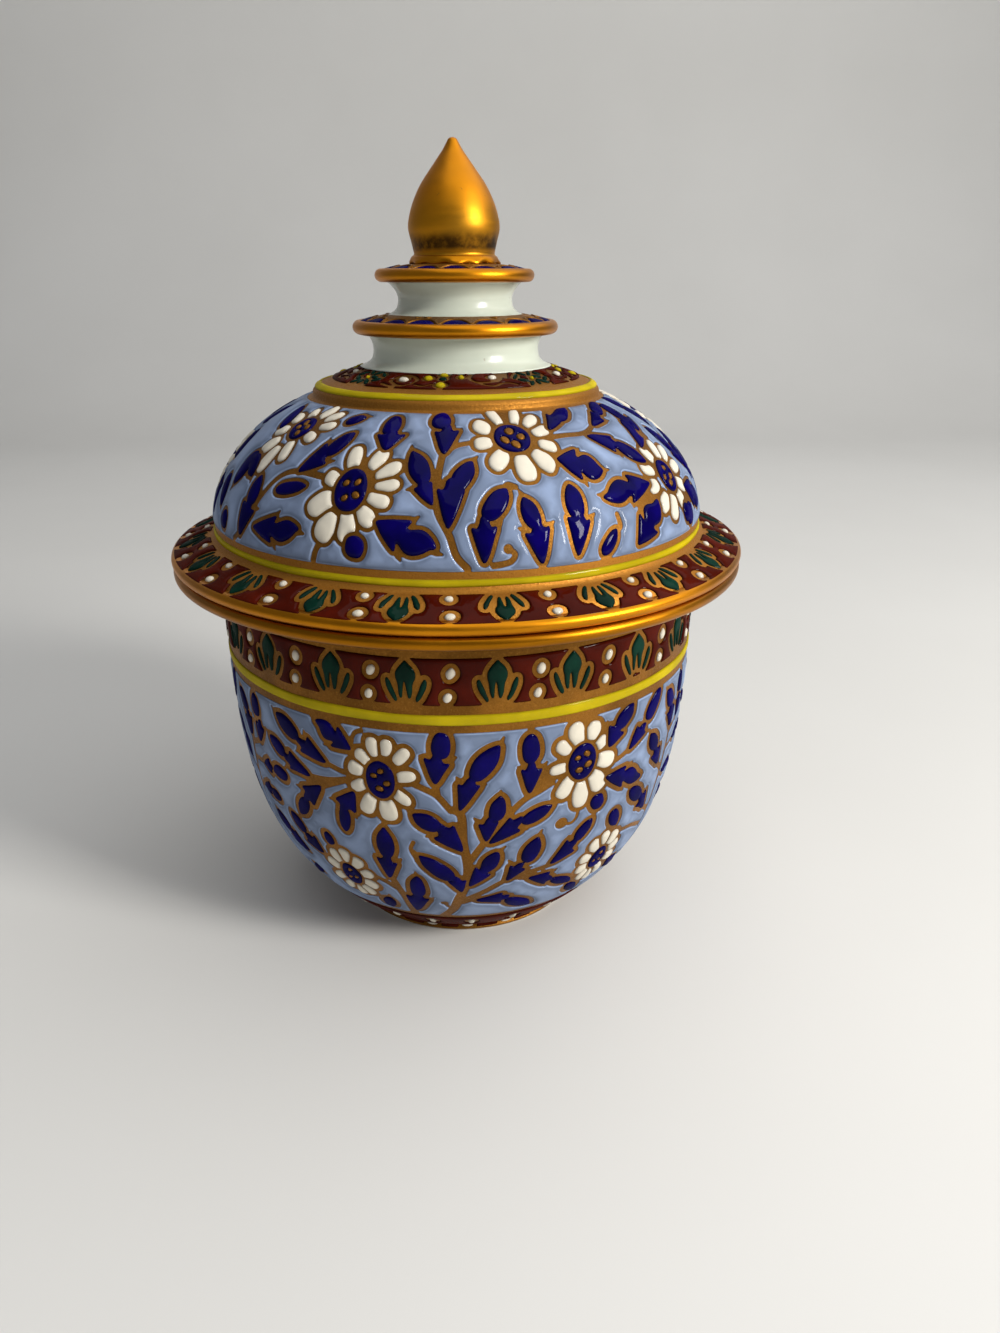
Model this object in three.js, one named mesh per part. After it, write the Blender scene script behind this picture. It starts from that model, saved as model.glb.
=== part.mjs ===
// A small covered porcelain jar with a domed lid and a tiered finial.
// The lid's brim rests on the jar's everted lip, and a ring below it drops into the mouth.
// The jar and the lid are each luted together from turned parts, which meet on flat rings.
// Lengths are in millimetres, +Z is up, and the origin is the centre of the foot's resting ring.
import * as THREE from "three";

// Jar body
const FOOT_RADIUS = 21.6;
const FOOT_WIDTH = 2.8;
const FOOT_HEIGHT = 2.0;
const FOOT_ROUNDING = 0.6;
const BASE_RADIUS = 23.0;
const BASE_ROUNDING = 0.5;
const JAR_RADIUS = 39.5;
const JAR_WALL = 3.2;
const JAR_FLOOR = 3.6;
const SHOULDER_HEIGHT = 54.0;
const SEAT_HEIGHT = 64.6;
const MOUTH_ROUNDING = 0.7;
const LIP_OVERHANG = 7.0;
const LIP_THICKNESS = 2.0;
const LIP_DROOP = 0.3;
const LIP_FILLET = 1.6;

// Lid: locating ring, brim, dome and crown
const RING_CLEARANCE = 0.5;
const RING_WALL = 2.8;
const RING_DEPTH = 5.0;
const RING_LEAD = 1.2;
const BRIM_OVERHANG = 0.1;
const BRIM_THICKNESS = 1.9;
const DOME_OVERSIZE = 0.1;
const BRIM_SHOULDER_WIDTH = 1.4;
const BRIM_SHOULDER_RISE = 3.8;
const DOME_FOOT_RISE = 5.6;
const DOME_TOP_RISE = 24.6;
const CROWN_RADIUS = 22.8;
const CROWN_STEP = 1.2;
const CROWN_ROUNDING = 1.4;
const CROWN_RISE = 3.3;
const CROWN_WALL = 3.6;
const CEILING_RADIUS = 11.0;
const DOME_WALL = 3.2;

// Finial: two waisted tiers with lipped discs, and a lotus bud
const LOWER_TIER = {
  footRadius: 13.7,
  waistRadius: 12.9,
  neckTopRadius: 13.7,
  neckHeight: 4.3,
  discRadius: 15.95,
  discRounding: 0.85,
  discSlope: 1.3,
  topRadius: 9.9,
};
const UPPER_TIER = {
  footRadius: 9.7,
  waistRadius: 8.8,
  neckTopRadius: 10.3,
  neckHeight: 4.4,
  discRadius: 12.2,
  discRounding: 0.8,
  discSlope: 1.1,
  topRadius: 6.5,
};
const BUD_FOOT_RADIUS = 6.4;
const BUD_FOOT_HEIGHT = 1.2;
const BUD_WAIST_RADIUS = 6.1;
const BUD_RADIUS = 6.9;
const BUD_HEIGHT = 16.8;
const BUD_TIP_RADIUS = 0.5;
const VENT_RADIUS = 3.0;
const VENT_ROOF = 2.6;

// Handles of the long curves, as shares of each curve's own run (radius) and rise (height)
const SIDE_LOWER_SHARES = [0.787, 0.235];
const SIDE_UPPER_SHARES = [1.0, 0.41];
const DOME_LOWER_SHARES = [0, 0.366];
const DOME_UPPER_SHARES = [0.356, 0.789];
// The bud's outline above its foot, as shares of its greatest radius and of its height
const BUD_SHARES = [
  [0.935, 0.165],
  [1.0, 0.285],
  [0.955, 0.4],
  [0.86, 0.51],
  [0.7, 0.635],
  [0.44, 0.78],
  [0.22, 0.9],
];

// Facets
const BODY_SIDES = 48;
const FINIAL_SIDES = 32;
const SIDE_STEPS = 12;
const DOME_STEPS = 11;
const CORNER_STEPS = 2;
const EDGE_STEPS = 8;
const NECK_STEPS = 6;
const BUD_STEPS = 14;

// Heights and radii that follow from those sizes
const MOUTH_INNER_RADIUS = JAR_RADIUS - JAR_WALL;
const LIP_RADIUS = JAR_RADIUS + LIP_OVERHANG;
const BRIM_RADIUS = LIP_RADIUS + BRIM_OVERHANG;
const DOME_RADIUS = JAR_RADIUS + DOME_OVERSIZE;
const BRIM_SHOULDER_RADIUS = DOME_RADIUS + BRIM_SHOULDER_WIDTH;
const RING_OUTER_RADIUS = MOUTH_INNER_RADIUS - RING_CLEARANCE;
const RING_INNER_RADIUS = RING_OUTER_RADIUS - RING_WALL;
const DOME_TOP_HEIGHT = SEAT_HEIGHT + DOME_TOP_RISE;
const LOWER_TIER_BASE = DOME_TOP_HEIGHT + CROWN_STEP + CROWN_RISE;
const LOWER_TIER_TOP = LOWER_TIER_BASE + tierHeight(LOWER_TIER);
const UPPER_TIER_TOP = LOWER_TIER_TOP + tierHeight(UPPER_TIER);

// A turned outline, in the plane of radius (x) and height (y), run anticlockwise round the clay.
class Outline {
  constructor(radius, height) {
    this.points = [new THREE.Vector2(radius, height)];
  }

  get end() {
    return this.points[this.points.length - 1];
  }

  // A straight stretch.
  line(radius, height) {
    this.points.push(new THREE.Vector2(radius, height));
    return this;
  }

  // A stretch of any three.js curve that starts where the outline has come to.
  follow(curve, steps) {
    this.points.push(...curve.getPoints(steps).slice(1));
    return this;
  }

  // A rounded corner: the outline turns at the corner point and leaves it for the end point.
  corner(cornerRadius, cornerHeight, radius, height, steps = CORNER_STEPS) {
    const corner = new THREE.Vector2(cornerRadius, cornerHeight);
    const end = new THREE.Vector2(radius, height);
    return this.follow(new THREE.QuadraticBezierCurve(this.end, corner, end), steps);
  }

  // The same outline run back to its start, so that a ring's section closes on itself.
  closed() {
    this.points.push(this.points[0].clone());
    return this;
  }
}

// A long curve from one point to another, its handles given as shares of the run and rise.
function sweep(from, to, lowerShares, upperShares) {
  const span = to.clone().sub(from);
  const handle = ([runShare, riseShare]) =>
    new THREE.Vector2(from.x + span.x * runShare, from.y + span.y * riseShare);
  return new THREE.CubicBezierCurve(from, handle(lowerShares), handle(upperShares), to);
}

// A half-round edge on a plate, from its underside at the bottom height to its top.
function edge(radius, bottom, thickness) {
  const half = thickness / 2;
  const quarter = Math.PI / 2;
  return new THREE.EllipseCurve(radius - half, bottom + half, half, half, -quarter, quarter);
}

// A curve's points in the other direction.
function reversed(curve) {
  return new THREE.CubicBezierCurve(curve.v3, curve.v2, curve.v1, curve.v0);
}

// Revolves an outline about the vertical axis.
function turned(name, outline, sides, material) {
  const geometry = new THREE.LatheGeometry(outline.points, sides);
  geometry.rotateX(Math.PI / 2);
  const mesh = new THREE.Mesh(geometry, material);
  mesh.name = name;
  return mesh;
}

function glaze(color, roughness, metalness = 0) {
  return new THREE.MeshStandardMaterial({ color, roughness, metalness });
}

// The height of a finial tier, from its flat foot to the flat on top of its disc.
function tierHeight(tier) {
  return tier.neckHeight + 2 * tier.discRounding + tier.discSlope;
}

// The unglazed ring that the jar stands on, its two lower edges rounded.
function footRing() {
  const inner = FOOT_RADIUS - FOOT_WIDTH;
  return new Outline(inner + FOOT_ROUNDING, 0)
    .line(FOOT_RADIUS - FOOT_ROUNDING, 0)
    .corner(FOOT_RADIUS, 0, FOOT_RADIUS, FOOT_ROUNDING)
    .line(FOOT_RADIUS, FOOT_HEIGHT)
    .line(inner, FOOT_HEIGHT)
    .line(inner, FOOT_ROUNDING)
    .corner(inner, 0, inner + FOOT_ROUNDING, 0);
}

// The bowl: a flat base on the foot ring, one long swelling side, and a mouth whose lip turns
// out into a thin flat ring.
function bowl() {
  const outerFoot = new THREE.Vector2(BASE_RADIUS, FOOT_HEIGHT + BASE_ROUNDING);
  const outerShoulder = new THREE.Vector2(JAR_RADIUS, SHOULDER_HEIGHT);
  const innerFoot = new THREE.Vector2(BASE_RADIUS - JAR_WALL, FOOT_HEIGHT + JAR_FLOOR);
  const innerShoulder = new THREE.Vector2(MOUTH_INNER_RADIUS, SHOULDER_HEIGHT);
  const outside = sweep(outerFoot, outerShoulder, SIDE_LOWER_SHARES, SIDE_UPPER_SHARES);
  const inside = sweep(innerFoot, innerShoulder, SIDE_LOWER_SHARES, SIDE_UPPER_SHARES);
  const lipEdge = edge(LIP_RADIUS, SEAT_HEIGHT - LIP_THICKNESS, LIP_THICKNESS);
  const lipBottom = SEAT_HEIGHT - LIP_THICKNESS - LIP_DROOP;
  return new Outline(0, FOOT_HEIGHT)
    .line(BASE_RADIUS - BASE_ROUNDING, FOOT_HEIGHT)
    .corner(BASE_RADIUS - BASE_ROUNDING / 2, FOOT_HEIGHT, outerFoot.x, outerFoot.y)
    .follow(outside, SIDE_STEPS)
    .line(JAR_RADIUS, lipBottom - LIP_FILLET)
    .corner(JAR_RADIUS, lipBottom, JAR_RADIUS + LIP_FILLET, lipBottom, CORNER_STEPS + 1)
    .line(lipEdge.getPoint(0).x, lipEdge.getPoint(0).y)
    .follow(lipEdge, EDGE_STEPS)
    .line(MOUTH_INNER_RADIUS + MOUTH_ROUNDING, SEAT_HEIGHT)
    .corner(
      MOUTH_INNER_RADIUS,
      SEAT_HEIGHT,
      MOUTH_INNER_RADIUS,
      SEAT_HEIGHT - MOUTH_ROUNDING,
    )
    .line(MOUTH_INNER_RADIUS, SHOULDER_HEIGHT)
    .follow(reversed(inside), SIDE_STEPS)
    .line(0, FOOT_HEIGHT + JAR_FLOOR);
}

// The ring under the lid that drops into the mouth and keeps the lid centred.
function locatingRing() {
  const bottom = SEAT_HEIGHT - RING_DEPTH;
  return new Outline(RING_INNER_RADIUS, bottom)
    .line(RING_OUTER_RADIUS - RING_LEAD, bottom)
    .corner(RING_OUTER_RADIUS, bottom, RING_OUTER_RADIUS, bottom + RING_LEAD)
    .line(RING_OUTER_RADIUS, SEAT_HEIGHT)
    .line(RING_INNER_RADIUS, SEAT_HEIGHT)
    .closed();
}

// The lid's shell: a brim with a half-round edge, the dome, and the stepped crown.
function dome() {
  const brimEdge = edge(BRIM_RADIUS, SEAT_HEIGHT, BRIM_THICKNESS);
  const shoulderHeight = SEAT_HEIGHT + BRIM_SHOULDER_RISE;
  const outerFoot = new THREE.Vector2(DOME_RADIUS, SEAT_HEIGHT + DOME_FOOT_RISE);
  const outerTop = new THREE.Vector2(CROWN_RADIUS, DOME_TOP_HEIGHT);
  const innerFoot = new THREE.Vector2(RING_INNER_RADIUS, SEAT_HEIGHT);
  const innerTop = new THREE.Vector2(CROWN_RADIUS - DOME_WALL, DOME_TOP_HEIGHT - DOME_WALL);
  const outside = sweep(outerFoot, outerTop, DOME_LOWER_SHARES, DOME_UPPER_SHARES);
  const inside = sweep(innerFoot, innerTop, DOME_LOWER_SHARES, DOME_UPPER_SHARES);
  const crownEdge = DOME_TOP_HEIGHT + CROWN_STEP;
  const ceilingHeight = LOWER_TIER_BASE - CROWN_WALL;
  return new Outline(RING_INNER_RADIUS, SEAT_HEIGHT)
    .line(brimEdge.getPoint(0).x, brimEdge.getPoint(0).y)
    .follow(brimEdge, EDGE_STEPS)
    .line(BRIM_SHOULDER_RADIUS, shoulderHeight)
    .corner(DOME_RADIUS, shoulderHeight, outerFoot.x, outerFoot.y, CORNER_STEPS + 1)
    .follow(outside, DOME_STEPS)
    .line(CROWN_RADIUS, crownEdge - CROWN_ROUNDING / 2)
    .corner(CROWN_RADIUS, crownEdge, CROWN_RADIUS - CROWN_ROUNDING, crownEdge + CROWN_ROUNDING / 2)
    .line(LOWER_TIER.footRadius, LOWER_TIER_BASE)
    .line(VENT_RADIUS, LOWER_TIER_BASE)
    .line(VENT_RADIUS, ceilingHeight)
    .line(CEILING_RADIUS, ceilingHeight)
    .line(innerTop.x, innerTop.y)
    .follow(reversed(inside), DOME_STEPS);
}

// One tier of the finial: a waisted neck that flares into a thin disc with a rounded lip.
function finialTier(tier, base, ventTop) {
  const neckTop = base + tier.neckHeight;
  const top = base + tierHeight(tier);
  const waistHandle = 2 * tier.waistRadius - (tier.footRadius + tier.neckTopRadius) / 2;
  const neck = new THREE.QuadraticBezierCurve(
    new THREE.Vector2(tier.footRadius, base),
    new THREE.Vector2(waistHandle, (base + neckTop) / 2),
    new THREE.Vector2(tier.neckTopRadius, neckTop),
  );
  const outline = new Outline(VENT_RADIUS, base)
    .line(tier.footRadius, base)
    .follow(neck, NECK_STEPS)
    .line(tier.discRadius - tier.discRounding, neckTop)
    .follow(edge(tier.discRadius, neckTop, 2 * tier.discRounding), EDGE_STEPS)
    .corner(tier.topRadius + tier.discSlope, top, tier.topRadius, top, NECK_STEPS);
  if (ventTop < top) {
    return outline.line(0, top).line(0, ventTop).line(VENT_RADIUS, ventTop).closed();
  }
  return outline.line(VENT_RADIUS, top).closed();
}

// The lotus bud: a low rolled foot, a waist, and an ogee that swells and runs to a point.
function lotusBud() {
  const base = UPPER_TIER_TOP;
  const waist = new THREE.Vector2(BUD_WAIST_RADIUS, base + BUD_FOOT_HEIGHT);
  const swell = BUD_SHARES.map(
    ([radiusShare, heightShare]) =>
      new THREE.Vector2(BUD_RADIUS * radiusShare, base + BUD_HEIGHT * heightShare),
  );
  const tip = new THREE.Vector2(BUD_TIP_RADIUS, base + BUD_HEIGHT - BUD_TIP_RADIUS);
  const footBulge = new THREE.QuadraticBezierCurve(
    new THREE.Vector2(BUD_WAIST_RADIUS, base),
    new THREE.Vector2(2 * BUD_FOOT_RADIUS - BUD_WAIST_RADIUS, base + BUD_FOOT_HEIGHT / 2),
    waist,
  );
  return new Outline(0, base)
    .line(BUD_WAIST_RADIUS, base)
    .follow(footBulge, CORNER_STEPS * 2)
    .follow(new THREE.SplineCurve([waist, ...swell, tip]), BUD_STEPS)
    .line(0, base + BUD_HEIGHT);
}

// Assembly
const periwinkle = glaze(0x8497d4, 0.18);
const porcelain = glaze(0xdfe6df, 0.12);
const biscuit = glaze(0xcfc6b6, 0.75);
const gilding = glaze(0xc98a2b, 0.3, 1);

const jar = new THREE.Group();
jar.add(
  turned("jar_foot_ring", footRing(), BODY_SIDES, biscuit),
  turned("jar_bowl", bowl(), BODY_SIDES, periwinkle),
);

const lid = new THREE.Group();
lid.add(
  turned("lid_locating_ring", locatingRing(), BODY_SIDES, porcelain),
  turned("lid_dome", dome(), BODY_SIDES, periwinkle),
  turned(
    "finial_lower_tier",
    finialTier(LOWER_TIER, LOWER_TIER_BASE, LOWER_TIER_TOP),
    FINIAL_SIDES,
    porcelain,
  ),
  turned(
    "finial_upper_tier",
    finialTier(UPPER_TIER, LOWER_TIER_TOP, UPPER_TIER_TOP - VENT_ROOF),
    FINIAL_SIDES,
    porcelain,
  ),
  turned("finial_lotus_bud", lotusBud(), FINIAL_SIDES, gilding),
);

const coveredJar = new THREE.Group();
coveredJar.add(jar, lid);

export default coveredJar;
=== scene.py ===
"""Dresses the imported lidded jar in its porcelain, gilding and raised enamels, and lights it."""

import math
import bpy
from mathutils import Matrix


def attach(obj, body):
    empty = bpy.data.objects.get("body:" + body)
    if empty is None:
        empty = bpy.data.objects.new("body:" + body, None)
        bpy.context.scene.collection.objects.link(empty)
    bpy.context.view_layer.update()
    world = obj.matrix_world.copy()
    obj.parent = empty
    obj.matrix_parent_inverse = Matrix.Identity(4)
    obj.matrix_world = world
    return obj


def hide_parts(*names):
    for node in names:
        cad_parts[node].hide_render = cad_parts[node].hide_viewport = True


bl_info = {
    "name": "Enamelled Lidded Jar",
    "version": (1, 0, 0),
    "blender": (4, 5, 0),
    "location": "View3D > Sidebar > Lidded Jar",
    "description": "Builds the gilding, enamels and stage of a small lidded jar around its turned clay",
    "category": "Add Mesh",
}

import bpy
import numpy as np
from mathutils import Vector
from mathutils.geometry import delaunay_2d_cdt

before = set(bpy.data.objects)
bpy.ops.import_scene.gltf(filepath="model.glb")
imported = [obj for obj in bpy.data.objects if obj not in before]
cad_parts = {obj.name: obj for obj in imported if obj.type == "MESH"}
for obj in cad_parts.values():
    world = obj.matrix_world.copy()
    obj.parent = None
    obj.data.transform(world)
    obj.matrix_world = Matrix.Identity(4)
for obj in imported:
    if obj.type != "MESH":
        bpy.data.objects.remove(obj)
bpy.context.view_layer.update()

# Outlines are worked out in millimetres and degrees, and a mesh is made in metres.
MM = 0.001
DEGREE = math.pi / 180

# The turned outlines, in millimetres: the same sizes as the clay below the enamel.
FOOT_RADIUS, FOOT_WIDTH, FOOT_HEIGHT, FOOT_ROUNDING = 21.6, 2.8, 2.0, 0.6
BASE_RADIUS, BASE_ROUNDING = 23.0, 0.5
JAR_RADIUS, JAR_WALL, JAR_FLOOR = 39.5, 3.2, 3.6
SHOULDER_HEIGHT, SEAT_HEIGHT = 54.0, 64.6
LIP_RADIUS, LIP_THICKNESS, LIP_DROOP, LIP_FILLET, MOUTH_ROUNDING = 46.5, 2.0, 0.3, 1.6, 0.7
RING_CLEARANCE, RING_WALL, RING_DEPTH, RING_LEAD = 0.5, 2.8, 5.0, 1.2
BRIM_RADIUS, BRIM_THICKNESS = 46.6, 1.9
BRIM_SHOULDER_RADIUS, BRIM_SHOULDER_RISE = 41.0, 3.8
DOME_RADIUS, DOME_FOOT_RISE, DOME_TOP_RISE, DOME_WALL = 39.6, 5.6, 24.6, 3.2
CROWN_RADIUS, CROWN_STEP, CROWN_ROUNDING, CROWN_RISE, CROWN_WALL = 22.8, 1.2, 1.4, 3.3, 3.6
CEILING_RADIUS, VENT_RADIUS = 11.0, 3.0
LOWER_TIER = dict(foot=13.7, waist=12.9, neck=13.7, rise=4.3, disc=15.95, edge=0.85, slope=1.3, top=9.9)
UPPER_TIER = dict(foot=9.7, waist=8.8, neck=10.3, rise=4.4, disc=12.2, edge=0.8, slope=1.1, top=6.5)
BUD_FOOT_RADIUS, BUD_FOOT_HEIGHT, BUD_WAIST_RADIUS = 6.4, 1.2, 6.1
BUD_RADIUS, BUD_HEIGHT, BUD_TIP_RADIUS = 6.9, 16.8, 0.5
# Gold thickens the very tip of the bud
BUD_BLUNT_RADIUS = 0.8
SIDE_SHARES = ((0.787, 0.235), (1.0, 0.41))
DOME_SHARES = ((0.0, 0.366), (0.356, 0.789))
BUD_SHARES = (
    (0.935, 0.165),
    (1.0, 0.285),
    (0.955, 0.4),
    (0.86, 0.51),
    (0.7, 0.635),
    (0.44, 0.78),
    (0.22, 0.9),
)
DOME_TOP = SEAT_HEIGHT + DOME_TOP_RISE
LOWER_BASE = DOME_TOP + CROWN_STEP + CROWN_RISE
LOWER_TOP = LOWER_BASE + LOWER_TIER["rise"] + 2 * LOWER_TIER["edge"] + LOWER_TIER["slope"]
UPPER_TOP = LOWER_TOP + UPPER_TIER["rise"] + 2 * UPPER_TIER["edge"] + UPPER_TIER["slope"]

# Depths below the clay's outline, in millimetres: the gilded ground, the edge of each pool of enamel
# and its hidden underside
GILT_DEPTH, ENAMEL_ROOT, ENAMEL_KEEL = 0.15, 0.19, 0.5
# How far the white clay is set in under the gold, and how thick the gold skins are counted from outside
BOWL_INSET, LINING_INSET, JAR_SKIN, LID_SKIN = 0.6, 0.7, 1.1, 0.9
# Steps of a turned piece round the axis
SIDES, BUD_SIDES, GOLD_SIDES = 160, 128, 240
# How far each enamel runs out past its drawn outline, on the vines and on the borders
GROW = {"cobalt": 0.17, "cream": 0.24}
BORDER_GROW = {"green": 0.04, "cream": 0.0, "yellow": 0.0, "cobalt": 0.0}
# The gold left open between two petals
PETAL_GAP = 0.42
# Spacing of the readings along a side, and how many each way its outward direction is softened over
SIDE_STEP, SOFTENING = 0.05, 6
# The depth given to a speck that is left out, just outside the enamel
SPECK_DEPTH = -0.05
# Depths inside an edge, as shares of the last, where rings of points carry the round shoulder
RINGS = (0.0, 0.08, 0.22, 0.48)
# How far from an outline the depth inside it is worked out
REACH = 2.6
# How far the points of an underside keep from its edge, and how far apart they lie
KEEL_MARGIN, KEEL_SPACING = 1.0, 2.6
# Half the distance over which the slope of enamel is taken
SLOPE_STEP = 0.12
# How enamel swells towards its middle, how wide its round shoulder is and how far apart its points lie
GROUND_FORM = (0.1, 0.75, 1.1)
DOT_FORM = (0.02, 0.22, 0.6)
BORDER_FORM = (0.05, 0.4, 1.0)
LINE_FORM = (0.04, 0.4, 1.0)
VINE_SWELL = {"cobalt": 0.08, "cream": 0.1}
# Shares of the full rise
GROUND_RISE, DOT_RISE, LINE_RISE, FLAT_RISE, PLUMP_RISE = 0.85, 0.8, 0.8, 0.9, 1.5
# The finer lattice of small motifs, as a share of the pitch
FINE, FINER = 0.7, 0.6
# The smallest pools that a brush would fill, in square millimetres
LEAST_GROUND, LEAST_BORDER = 1.9, 0.8


def length_property(name, description, default, least=0.0):
    return bpy.props.FloatProperty(
        name=name,
        description=description,
        default=default * MM,
        min=least * MM,
        precision=6,
        unit="LENGTH",
    )


class JarSizes(bpy.types.PropertyGroup):
    """Sizes of the enamel and gilding that a user may change."""

    pitch: length_property(
        "Lattice pitch", "Spacing of the lattice on which enamel edges are found", 0.25, 0.1
    )
    line_width: length_property(
        "Gold line width", "Width of the gold line round each pool of enamel of the vine", 0.68
    )
    dome_line_width: length_property(
        "Dome gold line width", "Width of the gold line round each pool of enamel of the dome's vine", 0.47
    )
    border_line_width: length_property(
        "Border gold line width", "Width of the gold line round the leaves and dots of the borders", 0.62
    )
    rise: length_property("Enamel rise", "Height of the enamel above the gilding", 0.27)
    wobble: length_property("Hand wobble", "How far a brushed outline strays from its drawing", 0.09)
    border_repeats: bpy.props.IntProperty(
        name="Border repeats",
        description="Number of palmettes round the shoulder and round the brim",
        default=21,
        min=8,
    )
    seed: bpy.props.IntProperty(
        name="Seed",
        description="Start of the random draws that make one brushed shape unlike the next",
        default=11,
    )


def colour_property(name, description, default):
    return bpy.props.FloatVectorProperty(
        name=name,
        description=description,
        default=default,
        size=3,
        subtype="COLOR",
        min=0,
        max=1,
    )


class JarColours(bpy.types.PropertyGroup):
    """Colours of the enamels, the glaze and the gold."""

    periwinkle: colour_property("Periwinkle", "Ground of the vine", (0.215, 0.275, 0.405))
    cobalt: colour_property("Cobalt", "Leaves, buds and flower hearts", (0.002, 0.0005, 0.064))
    cream: colour_property("Cream", "Petals and dots", (0.63, 0.58, 0.475))
    maroon: colour_property("Maroon", "Ground of the borders", (0.058, 0.0045, 0.001))
    green: colour_property("Green", "Leaves of the palmettes", (0.0026, 0.0225, 0.0135))
    yellow: colour_property("Yellow", "Lines along the borders", (0.45, 0.345, 0.005))
    glaze: colour_property("Glaze", "White glaze of the necks and inside", (0.51, 0.545, 0.455))
    biscuit: colour_property("Biscuit", "Unglazed foot ring", (0.55, 0.48, 0.38))
    gold: colour_property("Line gold", "Matt gold of the drawn lines", (0.225, 0.094, 0.013))
    rim_gold: colour_property("Rim gold", "Burnished gold of rims and bud", (0.57, 0.215, 0.007))


# Turned outlines


def sweep(start, end, shares, steps=72):
    """A long curve whose handles are shares of its run and rise."""
    start, end = np.array(start, float), np.array(end, float)
    low, high = (start + (end - start) * np.array(share) for share in shares)
    t = np.linspace(0, 1, steps + 1)[:, None]
    return (1 - t) ** 3 * start + 3 * (1 - t) ** 2 * t * low + 3 * (1 - t) * t * t * high + t**3 * end


def bend(start, corner, end, steps=6):
    t = np.linspace(0, 1, steps + 1)[:, None]
    start, corner, end = (np.array(q, float) for q in (start, corner, end))
    return (1 - t) ** 2 * start + 2 * (1 - t) * t * corner + t * t * end


def half_round(radius, bottom, thickness, steps=14):
    """The half-round edge of a plate, from its underside to its top."""
    half = thickness / 2
    turn = np.linspace(-math.pi / 2, math.pi / 2, steps + 1)
    return np.stack([radius - half + half * np.cos(turn), bottom + half + half * np.sin(turn)], 1)


def spline(points, steps=6):
    """A smooth curve through all the points."""
    p = np.array(points, float)
    p = np.vstack([2 * p[0] - p[1], p, 2 * p[-1] - p[-2]])
    t = np.linspace(0, 1, steps, endpoint=False)[:, None]
    runs = []
    for a, b, c, d in zip(p, p[1:], p[2:], p[3:]):
        runs.append(b + 0.5 * t * (c - a + t * (2 * a - 5 * b + 4 * c - d + t * (3 * (b - c) + d - a))))
    return np.vstack(runs + [p[-2:-1]])


def chain(*stretches):
    """Stretches joined end to end, without the points that they share."""
    points = np.vstack([np.atleast_2d(np.array(s, float)) for s in stretches])
    keep = np.ones(len(points), bool)
    keep[1:] = np.hypot(*(points[1:] - points[:-1]).T) > 1e-6
    return points[keep]


def closed_chain(*stretches):
    """The same for a closed outline, without a last point that repeats the first."""
    points = chain(*stretches)
    return points[:-1] if np.hypot(*(points[0] - points[-1])) < 1e-6 else points


JAR_FOOT = (BASE_RADIUS, FOOT_HEIGHT + BASE_ROUNDING)
JAR_SHOULDER = (JAR_RADIUS, SHOULDER_HEIGHT)
LIP_BOTTOM = SEAT_HEIGHT - LIP_THICKNESS - LIP_DROOP
DOME_FOOT = (DOME_RADIUS, SEAT_HEIGHT + DOME_FOOT_RISE)
DOME_CORNER = (DOME_RADIUS, SEAT_HEIGHT + BRIM_SHOULDER_RISE)
BRIM_SHOULDER = (BRIM_SHOULDER_RADIUS, SEAT_HEIGHT + BRIM_SHOULDER_RISE)
CROWN_EDGE = DOME_TOP + CROWN_STEP


def jar_side():
    below, beside = (JAR_RADIUS, LIP_BOTTOM - LIP_FILLET), (JAR_RADIUS + LIP_FILLET, LIP_BOTTOM)
    return chain(
        sweep(JAR_FOOT, JAR_SHOULDER, SIDE_SHARES),
        bend(below, (JAR_RADIUS, LIP_BOTTOM), beside),
        half_round(LIP_RADIUS, SEAT_HEIGHT - LIP_THICKNESS, LIP_THICKNESS),
    )


def dome_side():
    return chain(
        bend(BRIM_SHOULDER, DOME_CORNER, DOME_FOOT),
        sweep(DOME_FOOT, (CROWN_RADIUS, DOME_TOP), DOME_SHARES),
    )


def crown_side():
    top = (CROWN_RADIUS - CROWN_ROUNDING, CROWN_EDGE + CROWN_ROUNDING / 2)
    return chain(
        (CROWN_RADIUS, DOME_TOP),
        bend((CROWN_RADIUS, CROWN_EDGE - CROWN_ROUNDING / 2), (CROWN_RADIUS, CROWN_EDGE), top),
        (LOWER_TIER["foot"], LOWER_BASE),
    )


def brim_side():
    rim = half_round(BRIM_RADIUS, SEAT_HEIGHT, BRIM_THICKNESS)
    return chain(rim, bend(BRIM_SHOULDER, DOME_CORNER, DOME_FOOT)[:3])


def tier_neck(tier, base):
    handle = 2 * tier["waist"] - (tier["foot"] + tier["neck"]) / 2
    top = base + tier["rise"]
    return bend((tier["foot"], base), (handle, (base + top) / 2), (tier["neck"], top), 16)


def tier_disc(tier, base):
    """The rim of a disc and its dished top, run inwards."""
    neck_top = base + tier["rise"]
    top = neck_top + 2 * tier["edge"] + tier["slope"]
    rim = half_round(tier["disc"], neck_top, 2 * tier["edge"])
    return chain(rim, bend(rim[-1], (tier["top"] + tier["slope"], top), (tier["top"], top), 14))


def bud_side():
    waist = (BUD_WAIST_RADIUS, UPPER_TOP + BUD_FOOT_HEIGHT)
    handle = (2 * BUD_FOOT_RADIUS - BUD_WAIST_RADIUS, UPPER_TOP + BUD_FOOT_HEIGHT / 2)
    swell = [(BUD_RADIUS * r, UPPER_TOP + BUD_HEIGHT * h) for r, h in BUD_SHARES]
    tip = (BUD_BLUNT_RADIUS, UPPER_TOP + BUD_HEIGHT - BUD_TIP_RADIUS)
    return chain(
        bend((BUD_WAIST_RADIUS, UPPER_TOP), handle, waist),
        spline([waist] + swell + [tip], 8),
        bend(tip, (BUD_BLUNT_RADIUS * 0.75, UPPER_TOP + BUD_HEIGHT), (0, UPPER_TOP + BUD_HEIGHT), 6),
    )


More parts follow.
